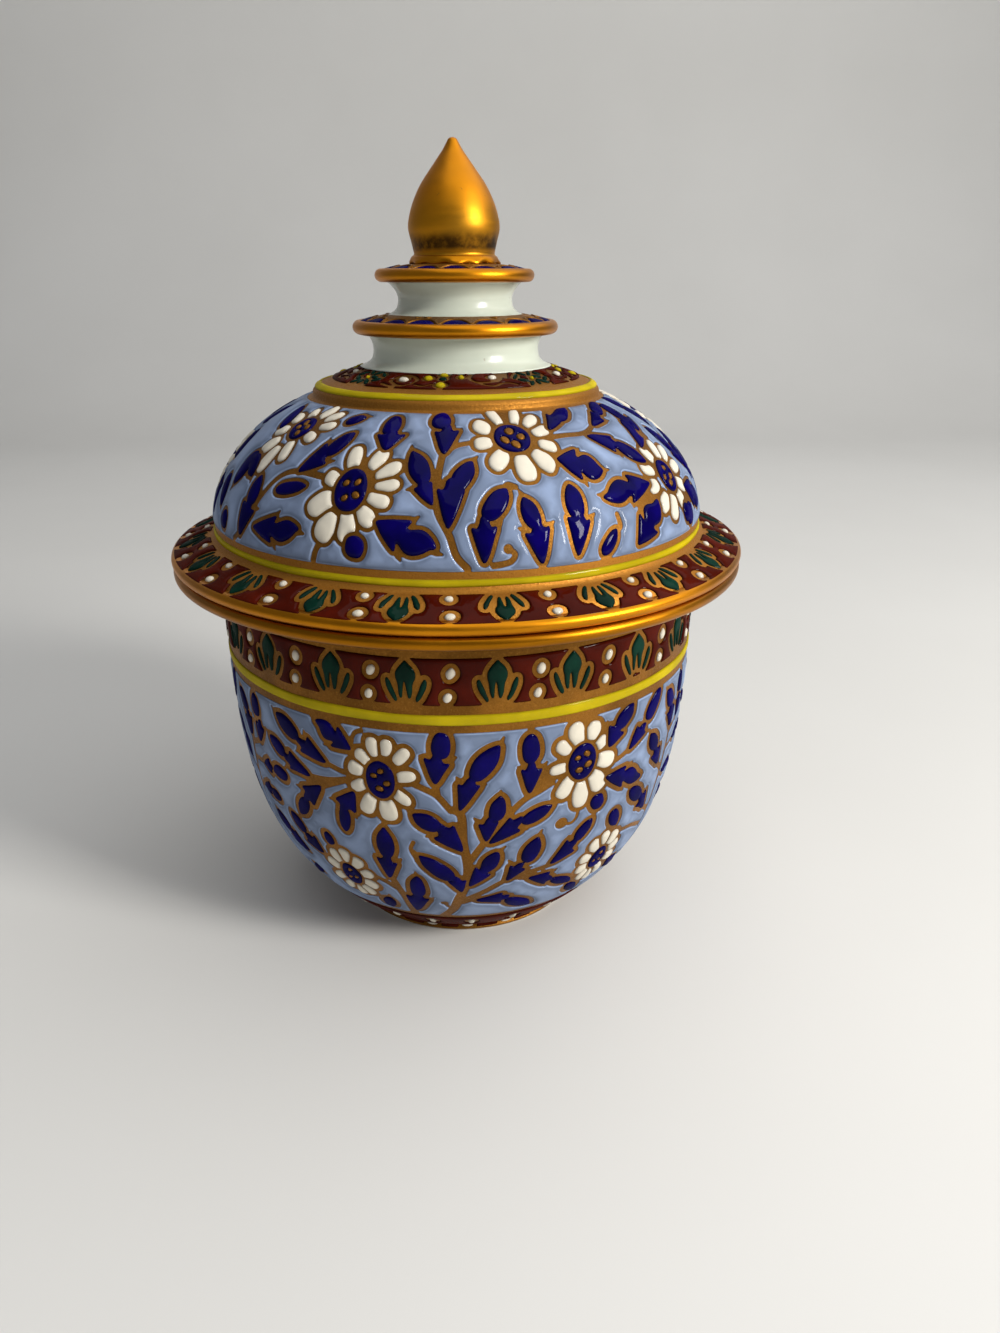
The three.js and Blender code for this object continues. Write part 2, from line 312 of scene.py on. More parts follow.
class Side:
    """One stretch of turned outline, read by its length along the clay."""

    def __init__(self, points):
        steps = np.hypot(*np.diff(points, axis=0).T)
        length = np.concatenate([[0], np.cumsum(steps)])
        fine = np.arange(0, length[-1] + SIDE_STEP, SIDE_STEP)
        self.s = fine
        self.r = np.interp(fine, length, points[:, 0])
        self.z = np.interp(fine, length, points[:, 1])
        slope = np.stack([np.gradient(self.r, fine), np.gradient(self.z, fine)], 1)
        soft = np.ones(2 * SOFTENING + 1) / (2 * SOFTENING + 1)
        slope = np.stack([np.convolve(np.pad(v, SOFTENING, "edge"), soft, "valid") for v in slope.T], 1)
        slope /= np.hypot(*slope.T)[:, None]
        self.out_r, self.out_z = slope[:, 1], -slope[:, 0]
        grow = 1 / np.maximum(self.r, 0.5)
        self.u = np.concatenate([[0], np.cumsum((grow[1:] + grow[:-1]) / 2 * np.diff(fine))])

    def radius(self, s):
        return np.interp(s, self.s, self.r)

    def place(self, a, s, height):
        """Points in metres at an angle, a length up the side and a height above it."""
        r = self.radius(s) + height * np.interp(s, self.s, self.out_r)
        z = np.interp(s, self.s, self.z) + height * np.interp(s, self.s, self.out_z)
        turn = np.asarray(a) * DEGREE
        return np.stack([r * np.sin(turn), -r * np.cos(turn), z], 1) * MM


JAR = Side(jar_side())
DOME = Side(dome_side())
CROWN = Side(crown_side())
BRIM = Side(brim_side())
BUD_SKIRT = Side(bend((7.3, UPPER_TOP - 0.18), (6.4, UPPER_TOP + 0.05), (6.3, UPPER_TOP + 1.05), 12))
FOOT = Side(np.array([(FOOT_RADIUS, 0.3), (FOOT_RADIUS, FOOT_HEIGHT + 0.1)]))
LOWER_DISC = Side(tier_disc(LOWER_TIER, LOWER_BASE))
UPPER_DISC = Side(tier_disc(UPPER_TIER, LOWER_TOP))


# Enamel laid out on a lattice


def offsets(x, y, starts, steps):
    """Offsets of points from the starts of steps, and the share of each step where it comes nearest."""
    px, py = x[:, None] - starts[:, 0], y[:, None] - starts[:, 1]
    along = (px * steps[:, 0] + py * steps[:, 1]) / np.maximum((steps**2).sum(1), 1e-12)
    return px, py, np.clip(along, 0, 1)


def depth_inside(x, y, outline):
    """How far points lie inside a closed outline, below zero outside it."""
    step = np.roll(outline, -1, axis=0) - outline
    px, py, along = offsets(x, y, outline, step)
    gap = np.sqrt(((px - along * step[:, 0]) ** 2 + (py - along * step[:, 1]) ** 2).min(1))
    height = np.where(step[:, 1] == 0, 1e-12, step[:, 1])
    crossed = ((py < 0) != (py - step[:, 1] < 0)) & (px < step[:, 0] * py / height)
    return np.where(crossed.sum(1) % 2 == 1, gap, -gap)


def depth_in_stroke(x, y, path, half_widths):
    """The same for a brush stroke along a path with changing width."""
    step = path[1:] - path[:-1]
    px, py, along = offsets(x, y, path[:-1], step)
    gap = np.hypot(px - along * step[:, 0], py - along * step[:, 1])
    return (half_widths[:-1] + along * (half_widths[1:] - half_widths[:-1]) - gap).max(1)


def swelling(depth, rise, swell, shoulder):
    """How high enamel stands above the gilding at a depth inside its edge."""
    share = np.clip(depth / shoulder, 0, 1)
    return rise * (1 - (1 - share) ** 2) ** 0.75 + swell * (1 - np.exp(-np.maximum(depth, 0)))


# Which edges of a lattice cell a border joins, for each set of corners inside it
CELL_JOINS = {
    1: "WS", 14: "WS", 2: "SE", 13: "SE", 4: "EN", 11: "EN",
    8: "NW", 7: "NW", 3: "WE", 12: "WE", 6: "SN", 9: "SN",
}  # fmt: skip
# The same where two opposite corners are inside, with the middle of the cell inside or outside
SADDLES = {(5, True): "WNSE", (5, False): "WSEN", (10, True): "WSEN", (10, False): "SENW"}


class Lattice:
    """A lattice of angles and lengths on a side, between two lengths, whole round or in part."""

    def __init__(self, side, bottom, top, pitch, start=-180.0, span=360.0, multiple=1):
        self.side, self.pitch, self.start = side, pitch, start
        self.s = np.arange(bottom - 2 * pitch, top + 2.01 * pitch, pitch)
        self.radius = side.radius(self.s)
        self.closed = span >= 360
        widest = side.radius(np.clip(self.s, bottom, top)).max()
        count = max(8, round(span * DEGREE * widest / pitch / multiple) * multiple)
        self.step = span / count
        self.count = count if self.closed else count + 1
        self.a = start + self.step * np.arange(self.count)
        self.middle_u = np.interp((bottom + top) / 2, side.s, side.u)
        self.middle_radius = side.radius((bottom + top) / 2)

    def blank(self):
        return np.full((len(self.s), self.count), -REACH)

    def _blocks(self, outlines, turns=(0.0,)):
        """For each outline at each turn: its number, the cells near it, their places and it, laid flat."""
        for turn in turns:
            for number, outline in enumerate(outlines):
                outline = outline + (turn, 0)
                low, high = outline.min(0), outline.max(0)
                rows = np.flatnonzero((self.s >= low[1] - REACH) & (self.s <= high[1] + REACH))
                if not len(rows):
                    continue
                margin = REACH / self.radius[rows].min() / DEGREE
                first = math.ceil((low[0] - margin - self.start) / self.step)
                last = math.floor((high[0] + margin - self.start) / self.step)
                columns = np.arange(first, last + 1)
                if not self.closed:
                    columns = columns[(columns >= 0) & (columns < self.count)]
                if not len(columns):
                    continue
                middle = (low[0] + high[0]) / 2
                a = self.start + self.step * columns - middle
                x = (a[None, :] * DEGREE * self.radius[rows][:, None]).ravel()
                y = np.repeat(self.s[rows], len(columns))
                flat_x = (outline[:, 0] - middle) * DEGREE * self.side.radius(outline[:, 1])
                flat = np.stack([flat_x, outline[:, 1]], 1)
                yield number, np.ix_(rows, columns % self.count), x, y, flat

    def draw(self, field, outlines, turns=(0.0,), grow=0.0):
        """Merges outlines, each grown by a margin, into the field."""
        for _, block, x, y, flat in self._blocks(outlines, turns):
            depth = depth_inside(x, y, flat) + grow
            field[block] = np.maximum(field[block], depth.reshape(field[block].shape))
        return field

    def draw_apart(self, outlines):
        """The depth inside the nearest outline, and inside the next nearest."""
        first, second = self.blank(), self.blank()
        for _, block, x, y, flat in self._blocks(outlines):
            depth = depth_inside(x, y, flat).reshape(first[block].shape)
            second[block] = np.maximum(second[block], np.minimum(first[block], depth))
            first[block] = np.maximum(first[block], depth)
        return first, second

    def brush(self, field, strokes, turns=(0.0,)):
        """Merges brush strokes, each a path and its half widths, into the field."""
        for number, block, x, y, flat in self._blocks([path for path, _ in strokes], turns):
            depth = depth_in_stroke(x, y, flat, strokes[number][1])
            field[block] = np.maximum(field[block], depth.reshape(field[block].shape))
        return field

    def band(self, low, high):
        """Depth inside a band between two lengths, either of which may vary round the side."""
        a = self.a
        low = low(a) if callable(low) else np.full(self.count, low)
        high = high(a) if callable(high) else np.full(self.count, high)
        return np.minimum(self.s[:, None] - low, high - self.s[:, None])

    def sample(self, field, a, s):
        """The field between its cells, at angles and lengths."""
        column = (np.asarray(a) - self.start) / self.step
        row = np.clip((np.asarray(s) - self.s[0]) / self.pitch, 0, len(self.s) - 1.001)
        if not self.closed:
            column = np.clip(column, 0, self.count - 1.001)
        i, j = np.floor(column).astype(int), np.floor(row).astype(int)
        fx, fy = column - i, row - j
        i0, i1 = i % self.count, (i + 1) % self.count
        low = field[j, i0] * (1 - fx) + field[j, i1] * fx
        high = field[j + 1, i0] * (1 - fx) + field[j + 1, i1] * fx
        return low * (1 - fy) + high * fy

    def without_specks(self, field, least):
        """The field without pools of enamel smaller than an area, which a brush would not fill."""
        rows, columns = field.shape
        inside = (field > 0).ravel()
        cell = self.pitch * self.step * DEGREE * self.radius
        seen = ~inside
        for first in np.flatnonzero(inside):
            if seen[first]:
                continue
            pool, area = [first], 0.0
            seen[first] = True
            for k in pool:
                j, i = divmod(k, columns)
                area += cell[j]
                for n in (
                    j * columns + (i + 1) % columns,
                    j * columns + (i - 1) % columns,
                    k + columns if j + 1 < rows else k,
                    k - columns if j > 0 else k,
                ):
                    if not seen[n]:
                        seen[n] = True
                        pool.append(n)
            if area < least:
                field.ravel()[pool] = SPECK_DEPTH
        return field

    def border(self, field, level):
        """The places where the field passes a level, and the pairs of them that a line joins."""
        value = field - level
        value[value == 0] = 1e-9
        right = np.roll(value, -1, axis=1)
        across = (value > 0) != (right > 0)
        rising = (value[:-1] > 0) != (value[1:] > 0)
        if not self.closed:
            across[:, -1] = False
        index_across = np.cumsum(across.ravel()).reshape(across.shape) - 1
        index_rising = np.cumsum(rising.ravel()).reshape(rising.shape) - 1 + across.sum()
        j, i = np.nonzero(across)
        share = value[j, i] / (value[j, i] - right[j, i])
        points = [np.stack([self.start + self.step * (i + share), self.s[j]], 1)]
        j, i = np.nonzero(rising)
        share = value[j, i] / (value[j, i] - value[j + 1, i])
        points.append(np.stack([self.start + self.step * i, self.s[j] + self.pitch * share], 1))
        edge = {
            "S": index_across[:-1],
            "N": index_across[1:],
            "W": index_rising,
            "E": np.roll(index_rising, -1, axis=1),
        }
        inside = (value > 0).astype(int)
        beside = np.roll(inside, -1, axis=1)
        case = inside[:-1] + 2 * beside[:-1] + 4 * beside[1:] + 8 * inside[1:]
        if not self.closed:
            case[:, -1] = 0
        middle = value[:-1] + value[1:] + right[:-1] + right[1:] > 0
        pairs = []
        for number, join in CELL_JOINS.items():
            where = case == number
            pairs.append(np.stack([edge[join[0]][where], edge[join[1]][where]], 1))
        for (number, joined), join in SADDLES.items():
            where = (case == number) & (middle == joined)
            for pair in (join[:2], join[2:]):
                pairs.append(np.stack([edge[pair[0]][where], edge[pair[1]][where]], 1))
        return np.vstack(points), np.vstack(pairs)

    def _flat(self, a, s):
        """The lattice laid flat with its angles kept true, for triangulating."""
        rho = self.middle_radius * np.exp(self.middle_u - np.interp(s, self.side.s, self.side.u))
        turn = np.asarray(a) * DEGREE
        return np.stack([rho * np.cos(turn), rho * np.sin(turn)], 1)

    def _unflat(self, points):
        """Angles and lengths of points laid flat."""
        rho = np.maximum(np.hypot(*points.T), 1e-9)
        s = np.interp(self.middle_u - np.log(rho / self.middle_radius), self.side.u, self.side.s)
        a = np.arctan2(points[:, 1], points[:, 0]) / DEGREE
        return (a - self.start) % 360 + self.start, s

    def _triangles(self, field, places, joins):
        """Triangles over the inside of the field that keep the joins, with their corner places."""
        flat = self._flat(*places.T)
        found = delaunay_2d_cdt(
            [Vector(p) for p in flat], [tuple(map(int, e)) for e in joins], [], 0, 1e-3, True
        )
        corners = np.array([tuple(v) for v in found[0]])
        origin = np.array([o[0] if o else -1 for o in found[3]])
        a, s = self._unflat(corners)
        known = origin >= 0
        a[known], s[known] = places[origin[known], 0], places[origin[known], 1]
        faces = np.array([f for f in found[2] if len(f) == 3])
        middle = corners[faces].mean(1)
        middle_a, middle_s = self._unflat(middle)
        rho = np.hypot(*middle.T)
        ends = np.hypot(*self._flat([0, 0], [self.s[0], self.s[-1]]).T)
        inside = (rho > ends.min()) & (rho < ends.max())
        if not self.closed:
            inside &= middle_a <= self.a[-1]
        inside &= self.sample(field, middle_a, middle_s) > 0
        return a, s, origin, faces[inside]

    def _fill(self, field, least, spacing):
        """Places well inside the enamel, on a staggered lattice of the given spacing."""
        skip = max(1, round(spacing / self.pitch))
        places = []
        for n, j in enumerate(range(0, len(self.s), skip)):
            mm = self.step * DEGREE * self.radius[j]
            stride = max(1, round(spacing / mm))
            i = np.arange((n % 2) * (stride // 2), self.count, stride)
            i = i[field[j, i] > least]
            places.append(np.stack([self.a[i], np.full(len(i), self.s[j])], 1))
        return np.vstack(places)

    def enamel(self, name, field, rise, swell=0.06, shoulder=0.6, spacing=0.9):
        """A closed, rounded pool of enamel wherever the field is above zero."""
        places, joins, depths = [], [], []
        count = 0
        for level in RINGS:
            level = level * shoulder / RINGS[-1]
            points, pairs = self.border(field, level)
            places.append(points)
            joins.append(pairs + count)
            depths.append(np.full(len(points), level))
            count += len(points)
        inner = self._fill(field, shoulder + 0.3 * spacing, spacing)
        places.append(inner)
        depths.append(self.sample(field, *inner.T))
        a, s, origin, faces = self._triangles(field, np.vstack(places), np.vstack(joins))
        depth = self.sample(field, a, s)
        known = origin >= 0
        depth[known] = np.concatenate(depths)[origin[known]]
        height = swelling(depth, rise, swell, shoulder)
        height = np.where(depth <= 0, -ENAMEL_ROOT, height - GILT_DEPTH)
        return self._closed(name, field, a, s, height, faces, depth)

    def smooth(self, item, field, rise, swell, shoulder):
        """Sets the normals of enamel from the slope of its height, so that thin triangles don't show."""
        mesh = item.data
        count = len(mesh.vertices)
        normals = np.zeros((count, 3), np.float32)
        mesh.vertex_normals.foreach_get("vector", normals.ravel())
        place = np.zeros(count * 3, np.float32)
        mesh.vertices.foreach_get("co", place)
        place = place.reshape(-1, 3) / MM
        depths = np.zeros(count, np.float32)
        mesh.attributes["depth"].data.foreach_get("value", depths)
        a = np.arctan2(place[:, 0], -place[:, 1]) / DEGREE
        a = (a - self.start) % 360 + self.start
        s = self._length_at(place)

        def surface(at_a, at_s):
            depth = self.sample(field, at_a, at_s)
            return self.side.place(at_a, at_s, swelling(depth, rise, swell, shoulder))

        turn = SLOPE_STEP / self.side.radius(s) / DEGREE
        east = surface(a + turn, s) - surface(a - turn, s)
        north = surface(a, s + SLOPE_STEP) - surface(a, s - SLOPE_STEP)
        slope = np.cross(east, north)
        slope /= np.maximum(np.linalg.norm(slope, axis=1), 1e-12)[:, None]
        inner = depths > SLOPE_STEP
        normals[inner] = slope[inner]
        mesh.normals_split_custom_set_from_vertices(normals.tolist())

    def _length_at(self, place):
        """The length up the side nearest to each place."""
        fine = np.arange(self.s[0], self.s[-1], 0.02)
        r, z = self.side.radius(fine), np.interp(fine, self.side.s, self.side.z)
        order = np.argsort(z)
        return np.interp(place[:, 2], z[order], fine[order])

    def _closed(self, name, field, a, s, height, faces, depth):
        """The pool of enamel closed by a flat underside that shares its rim."""
        edges = np.vstack([faces[:, [0, 1]], faces[:, [1, 2]], faces[:, [2, 0]]])
        _, back, times = np.unique(np.sort(edges, 1), axis=0, return_inverse=True, return_counts=True)
        outer = edges[times[back.ravel()] == 1]
        rim = np.unique(outer)
        order = np.full(len(a), -1)
        order[rim] = np.arange(len(rim))
        inner = self._fill(field, KEEL_MARGIN, KEEL_SPACING)
        places = np.vstack([np.stack([a[rim], s[rim]], 1), inner])
        under_a, under_s, origin, under = self._triangles(field, places, order[outer])
        under_index = np.where(
            (origin >= 0) & (origin < len(rim)),
            rim[np.clip(origin, 0, len(rim) - 1)],
            len(a) + np.arange(len(under_a)),
        )
        height[rim] = -ENAMEL_ROOT
        keel = np.full(len(under_a), -ENAMEL_KEEL)
        points = np.vstack([self.side.place(a, s, height), self.side.place(under_a, under_s, keel)])
        triangles = np.vstack([faces, under_index[under][:, ::-1]])
        depth = np.concatenate([depth, np.zeros(len(under_a))])
        return solid(name, points, triangles, {"depth": depth})


def solid(name, points, triangles, attributes=None):
    """A mesh object of triangles, without the points that none of them uses."""
    used, triangles = np.unique(triangles, return_inverse=True)
    triangles = triangles.reshape(-1, 3)
    mesh = bpy.data.meshes.new(name)
    mesh.from_pydata(points[used].tolist(), [], triangles.tolist())
    mesh.update()
    for key, values in (attributes or {}).items():
        layer = mesh.attributes.new(key, "FLOAT", "POINT")
        layer.data.foreach_set("value", np.asarray(values, np.float32)[used])
    mesh.shade_smooth()
    piece = bpy.data.objects.new(name, mesh)
    bpy.context.scene.collection.objects.link(piece)
    return piece


def turned(name, outline, sides=SIDES):
    """A closed solid of revolution from an outline that runs anticlockwise round its section."""
    outline = closed_chain(outline)
    pole = outline[:, 0] < 1e-6
    turn = 2 * math.pi * np.arange(sides) / sides
    points, rows = [], []
    for (r, z), at_pole in zip(outline, pole):
        if at_pole:
            rows.append(np.full(sides, len(points)))
            points.append((0.0, 0.0, z))
        else:
            rows.append(len(points) + np.arange(sides))
            points.extend(zip(r * np.sin(turn), -r * np.cos(turn), np.full(sides, z)))
    triangles = []
    count = len(outline)
    for k in range(count):
        low, high = rows[k], rows[(k + 1) % count]
        low_next, high_next = np.roll(low, -1), np.roll(high, -1)
        if not pole[k]:
            tip = high if pole[(k + 1) % count] else high_next
            triangles.append(np.stack([low, low_next, tip], 1))
        if not pole[(k + 1) % count]:
            triangles.append(np.stack([low, high_next, high], 1))
    return solid(name, np.array(points, float) * MM, np.vstack(triangles))


def moved(points, side_step):
    """An outline shifted along its own outward normal."""
    slope = np.gradient(points, axis=0)
    slope /= np.maximum(np.hypot(*slope.T), 1e-9)[:, None]
    return points + side_step * np.stack([slope[:, 1], -slope[:, 0]], 1)


# Halves of brushed shapes, in shares of their width (across) and length (along), from base to tip

KINDS = {
    "lobe": (
        (0.12, 0.0), (0.36, 0.1), (0.48, 0.3), (0.5, 0.5),
        (0.44, 0.7), (0.3, 0.86), (0.12, 0.98), (0.0, 1.04),
    ),
    "arrow": (
        (0.0, -0.04), (0.14, 0.12), (0.27, 0.34), (0.4, 0.6), (0.56, 0.9),
        (0.4, 0.86), (0.27, 0.88), (0.18, 1.0), (0.14, 1.16),
    ),
    "leaf": (
        (0.0, -0.02), (0.13, 0.08), (0.28, 0.2), (0.42, 0.34), (0.56, 0.5), (0.4, 0.47), (0.26, 0.46),
        (0.24, 0.52), (0.34, 0.6), (0.42, 0.68), (0.42, 0.78), (0.3, 0.9), (0.12, 0.99), (0.0, 1.03),
    ),
    "bud": (
        (0.0, 0.0), (0.26, 0.05), (0.44, 0.2), (0.5, 0.42),
        (0.47, 0.66), (0.34, 0.88), (0.14, 0.99), (0.0, 1.0),
    ),
    "petal": (
        (0.0, 0.0), (0.25, 0.02), (0.4, 0.15), (0.49, 0.38),
        (0.5, 0.62), (0.43, 0.85), (0.25, 0.98), (0.0, 1.01),
    ),
}  # fmt: skip


# What share of a side is cut off at a corner, the share of leaf corners without a spur of gold, and the
# half widths of a spur from root to tip
CORNER_CUT, SPUR_MISSING, SPUR_HALF_WIDTHS = 0.22, 0.25, (0.45, 0.36, 0.14)


def rounded(outline):
    """A closed outline with its corners cut back twice."""
    for _ in range(2):
        after, cut, rest = np.roll(outline, -1, axis=0), CORNER_CUT, 1 - CORNER_CUT
        outline = np.stack([outline * rest + after * cut, outline * cut + after * rest], 1).reshape(-1, 2)
    return outline


class Sketch:
    """A drawing on a side, made on a rolled-out picture of it: degrees round, millimetres up."""

    def __init__(self, radius, wobble, seed):
        self.mm = DEGREE * radius
        self.wobble = wobble
        self.rng = np.random.default_rng(seed)
        self.shapes = {}
        self.strokes = []

    def strayed(self, outline):
        """An outline as a hand would paint it, in picture millimetres."""
        turn = np.linspace(0, 2 * math.pi, len(outline), endpoint=False)
        shift = np.zeros_like(outline)
        wobble = self.wobble * min(1.0, np.ptp(outline, axis=0).min() / 2.4)
        for wave in (1, 2, 3, 5):
            for axis in (0, 1):
                phase = self.rng.uniform(0, 2 * math.pi)
                shift[:, axis] += wobble * self.rng.normal() / wave**0.5 * np.sin(wave * turn + phase) / 2
        return outline + shift

    def add(self, colour, outline):
        """An outline in picture millimetres, kept in degrees round and millimetres up."""
        self.shapes.setdefault(colour, []).append(outline / (self.mm, 1))

    def shape(self, colour, kind, base_a, base_s, tip_a, tip_s, width):
        """A brushed shape of one kind, from its base to its tip."""
        half = np.array(KINDS[kind], float)
        both = closed_chain(half, (half * (-1, 1))[::-1])
        base = np.array((base_a * self.mm, base_s))
        along = np.array((tip_a * self.mm, tip_s)) - base
        across = np.array((along[1], -along[0])) / np.hypot(*along)
        if kind in ("leaf", "arrow"):
            both[:, 1] += both[:, 1] * np.where(both[:, 0] < 0, 1, -1) * self.rng.uniform(-0.09, 0.09)
        outline = base + both[:, 1:] * along + both[:, :1] * width * across
        self.add(colour, self.strayed(rounded(outline)))
        self.spurs(kind, base, along, across * width)

    def spurs(self, kind, base, along, across):
        """Short tapering strokes where the gold outline of a leaf runs on past its corners."""
        places = {
            "lobe": [(0.0, 1.0)],
            "leaf": [(0.0, 1.0), (0.5, 0.5), (-0.5, 0.5)],
            "arrow": [(0.5, 0.9), (-0.5, 0.9)],
        }
        for x, y in places.get(kind, []):
            if self.rng.random() < SPUR_MISSING:
                continue
            start = base + along * y + across * x
            ahead = along / np.hypot(*along) * (1.0 if x == 0 else 0.7)
            ahead = ahead + across * x / np.hypot(*across) * 1.6
            reach = self.rng.uniform(1.2, 1.75) if x == 0 else self.rng.uniform(0.95, 1.4)
            bent = ahead + (ahead[1], -ahead[0]) * np.array(self.rng.uniform(-0.35, 0.35))
            halfway = start + ahead * reach * 0.5
            path = np.stack([start, halfway, halfway + bent * reach * 0.5])
            self.strokes.append((path / (self.mm, 1), np.array(SPUR_HALF_WIDTHS)))

    def blob(self, colour, a, s, width, height, lean=0.0):
        """An oval dot, leant to the left by some degrees."""
        turn = np.linspace(0, 2 * math.pi, 28, endpoint=False)
        x, y = np.cos(turn) * width / 2, np.sin(turn) * height / 2
        cos, sin = math.cos(lean * DEGREE), math.sin(lean * DEGREE)
        outline = np.stack([x * cos - y * sin, x * sin + y * cos], 1)
        self.add(colour, self.strayed(outline + (a * self.mm, s)))

    def heart(self, a, s, width, height):
        """A cobalt flower heart with a few gold dots and crescents left open in it."""
        self.blob("cobalt", a, s, width, height)
        count = 4 if width > 4 else 3
        first = self.rng.uniform(0, 360)
        for k in range(count):
            turn = (first + 360 * (k + self.rng.uniform(-0.15, 0.15)) / count) * DEGREE
            x, y = math.sin(turn) * width * 0.25, math.cos(turn) * height * 0.25
            size = self.rng.uniform(0.8, 1.05) * width / 4.6
            lean = self.rng.uniform(-60, 60)
            self.blob("gold_dots", a + x / self.mm, s + y, size * 1.35, size, lean)

    def petals(self, colour, a, s, petals):
        """Petals round a heart, each given by the place of its middle, its width and its length."""
        for x, y, width, length in petals:
            out = np.array((x, y)) / math.hypot(x, y)
            base = np.array((a * self.mm, s)) + (x, y) - out * length * 0.56
            tip = base + out * length * 1.06
            self.shape(colour, "petal", base[0] / self.mm, base[1], tip[0] / self.mm, tip[1], width)

    def wreath(self, colour, a, s, reach_x, reach_y, count, width, length):
        """A ring of like petals round a heart."""
        ring = []
        for k in range(count):
            turn = 360 * (k + self.rng.uniform(-0.12, 0.12)) / count * DEGREE
            size = self.rng.uniform(0.9, 1.1)
            ring.append((reach_x * math.sin(turn), reach_y * math.cos(turn), width * size, length * size))
        self.petals(colour, a, s, ring)

    def stroke(self, places, start_width, end_width=None, ball=0.0):
        """A gold brush stroke through places, with a ball of gold at its end if asked."""
        end_width = start_width if end_width is None else end_width
        path = spline(places, 5) if len(places) > 2 else np.array(places, float)
        widths = np.linspace(start_width, end_width, len(path)) / 2
        self.strokes.append((path, widths))
        if ball:
            end = path[-1]
            self.strokes.append((np.array([end, end + (0.01, 0.01)]), np.array([ball, ball])))


# The vine on the jar, one third of the way round, read in degrees and millimetres up the side

JAR_COBALT = (
    ("leaf", -24.3, 46.0, -31.9, 49.1, 3.3), ("arrow", -24.7, 38.5, -27.6, 35.3, 3.3),
    ("lobe", -27.7, 35.2, -28.4, 30.8, 2.0), ("lobe", -18.6, 26.8, -18.3, 32.7, 2.7),
    ("arrow", -19.2, 22.0, -18.7, 26.6, 3.2), ("lobe", -12.6, 17.4, -12.0, 22.9, 2.7),
    ("arrow", -14.8, 11.4, -12.8, 17.6, 3.9), ("arrow", -0.7, 29.3, -5.0, 33.6, 3.6),
    ("lobe", -5.6, 33.7, -10.9, 36.0, 2.6), ("arrow", -1.0, 19.5, -2.1, 22.8, 2.6),
    ("lobe", -3.0, 22.9, -10.3, 27.8, 2.9), ("arrow", -0.9, 37.2, 1.4, 42.0, 2.7),
    ("lobe", 1.9, 42.3, 7.2, 47.5, 2.9), ("bud", -4.8, 45.9, -4.2, 50.0, 2.6),
    ("arrow", -6.0, 41.8, -5.4, 45.9, 3.3), ("bud", 14.3, 44.3, 14.2, 48.9, 2.4),
    ("arrow", 14.2, 39.3, 14.6, 43.6, 2.7), ("lobe", 6.9, 34.9, 7.7, 39.0, 2.4),
    ("arrow", 4.9, 31.2, 5.4, 34.9, 2.6), ("arrow", 5.7, 30.7, 12.0, 34.2, 2.9),
    ("lobe", 13.0, 34.0, 19.5, 36.1, 2.2), ("leaf", 1.1, 21.0, 7.7, 28.4, 2.9),
    ("arrow", 10.4, 21.8, 13.2, 24.9, 2.7), ("lobe", 14.8, 25.6, 17.0, 30.3, 2.7),
    ("arrow", 21.6, 23.9, 27.0, 27.2, 3.2), ("lobe", 27.5, 27.7, 31.0, 31.1, 2.2),
    ("arrow", 16.6, 21.2, 22.4, 19.9, 2.9), ("lobe", 23.4, 19.1, 30.6, 16.6, 1.9),
    ("arrow", 3.3, 16.4, 10.6, 16.5, 2.9), ("lobe", 11.3, 15.6, 19.6, 11.6, 2.8),
    ("lobe", 30.8, 15.0, 36.5, 10.9, 2.2), ("lobe", -23.9, 11.0, -22.0, 14.9, 2.4),
    ("bud", 32.0, 35.7, 32.2, 33.0, 2.6), ("lobe", 38.0, 30.9, 40.5, 27.5, 2.3),
    ("arrow", 34.0, 43.9, 36.0, 46.6, 3.6), ("lobe", 36.0, 46.5, 40.4, 49.5, 2.6),
    ("leaf", 34.0, 38.4, 45.8, 35.7, 3.3), ("arrow", 40.6, 41.9, 45.0, 44.6, 2.6),
    ("lobe", 46.4, 45.6, 51.2, 49.6, 2.6), ("arrow", 60.2, 40.8, 59.4, 44.2, 2.8),
    ("lobe", 59.6, 44.9, 56.0, 48.0, 2.4), ("lobe", 52.6, 38.8, 49.2, 42.0, 2.3),
    ("arrow", 55.2, 35.0, 53.0, 38.2, 2.8), ("lobe", 49.0, 30.5, 43.6, 33.4, 2.5),
    ("arrow", 53.2, 26.9, 49.8, 30.0, 2.9), ("lobe", -38.6, 45.4, -44.9, 48.1, 2.5),
    ("arrow", -31.2, 42.7, -37.6, 44.9, 3.0), ("lobe", -44.2, 41.2, -48.9, 43.4, 2.1),
    ("arrow", -36.6, 39.3, -43.2, 40.9, 2.7), ("arrow", -54.8, 37.0, -51.6, 37.0, 2.3),
    ("bud", -50.0, 37.1, -44.7, 37.0, 2.2), ("arrow", -33.9, 37.8, -38.6, 34.9, 3.0),
    ("lobe", -39.0, 34.3, -42.3, 30.8, 2.1), ("lobe", -54.2, 45.4, -54.9, 49.2, 2.2),
    ("arrow", -54.7, 41.0, -53.6, 44.3, 2.4), ("arrow", -58.6, 31.6, -55.2, 31.6, 2.3),
    ("bud", -54.4, 31.5, -50.6, 31.0, 2.0), ("lobe", -43.2, 26.6, -46.7, 29.7, 2.1),
    ("arrow", -38.9, 23.2, -42.4, 25.8, 2.9), ("arrow", -46.2, 21.2, -50.8, 23.9, 2.8),
    ("lobe", -51.6, 24.4, -55.6, 27.2, 2.2), ("bud", -34.0, 26.5, -34.9, 28.8, 1.6),
    ("leaf", 45.5, 17.2, 53.0, 12.4, 3.0), ("lobe", -46.5, 16.8, -52.0, 12.6, 2.2),
)  # fmt: skip
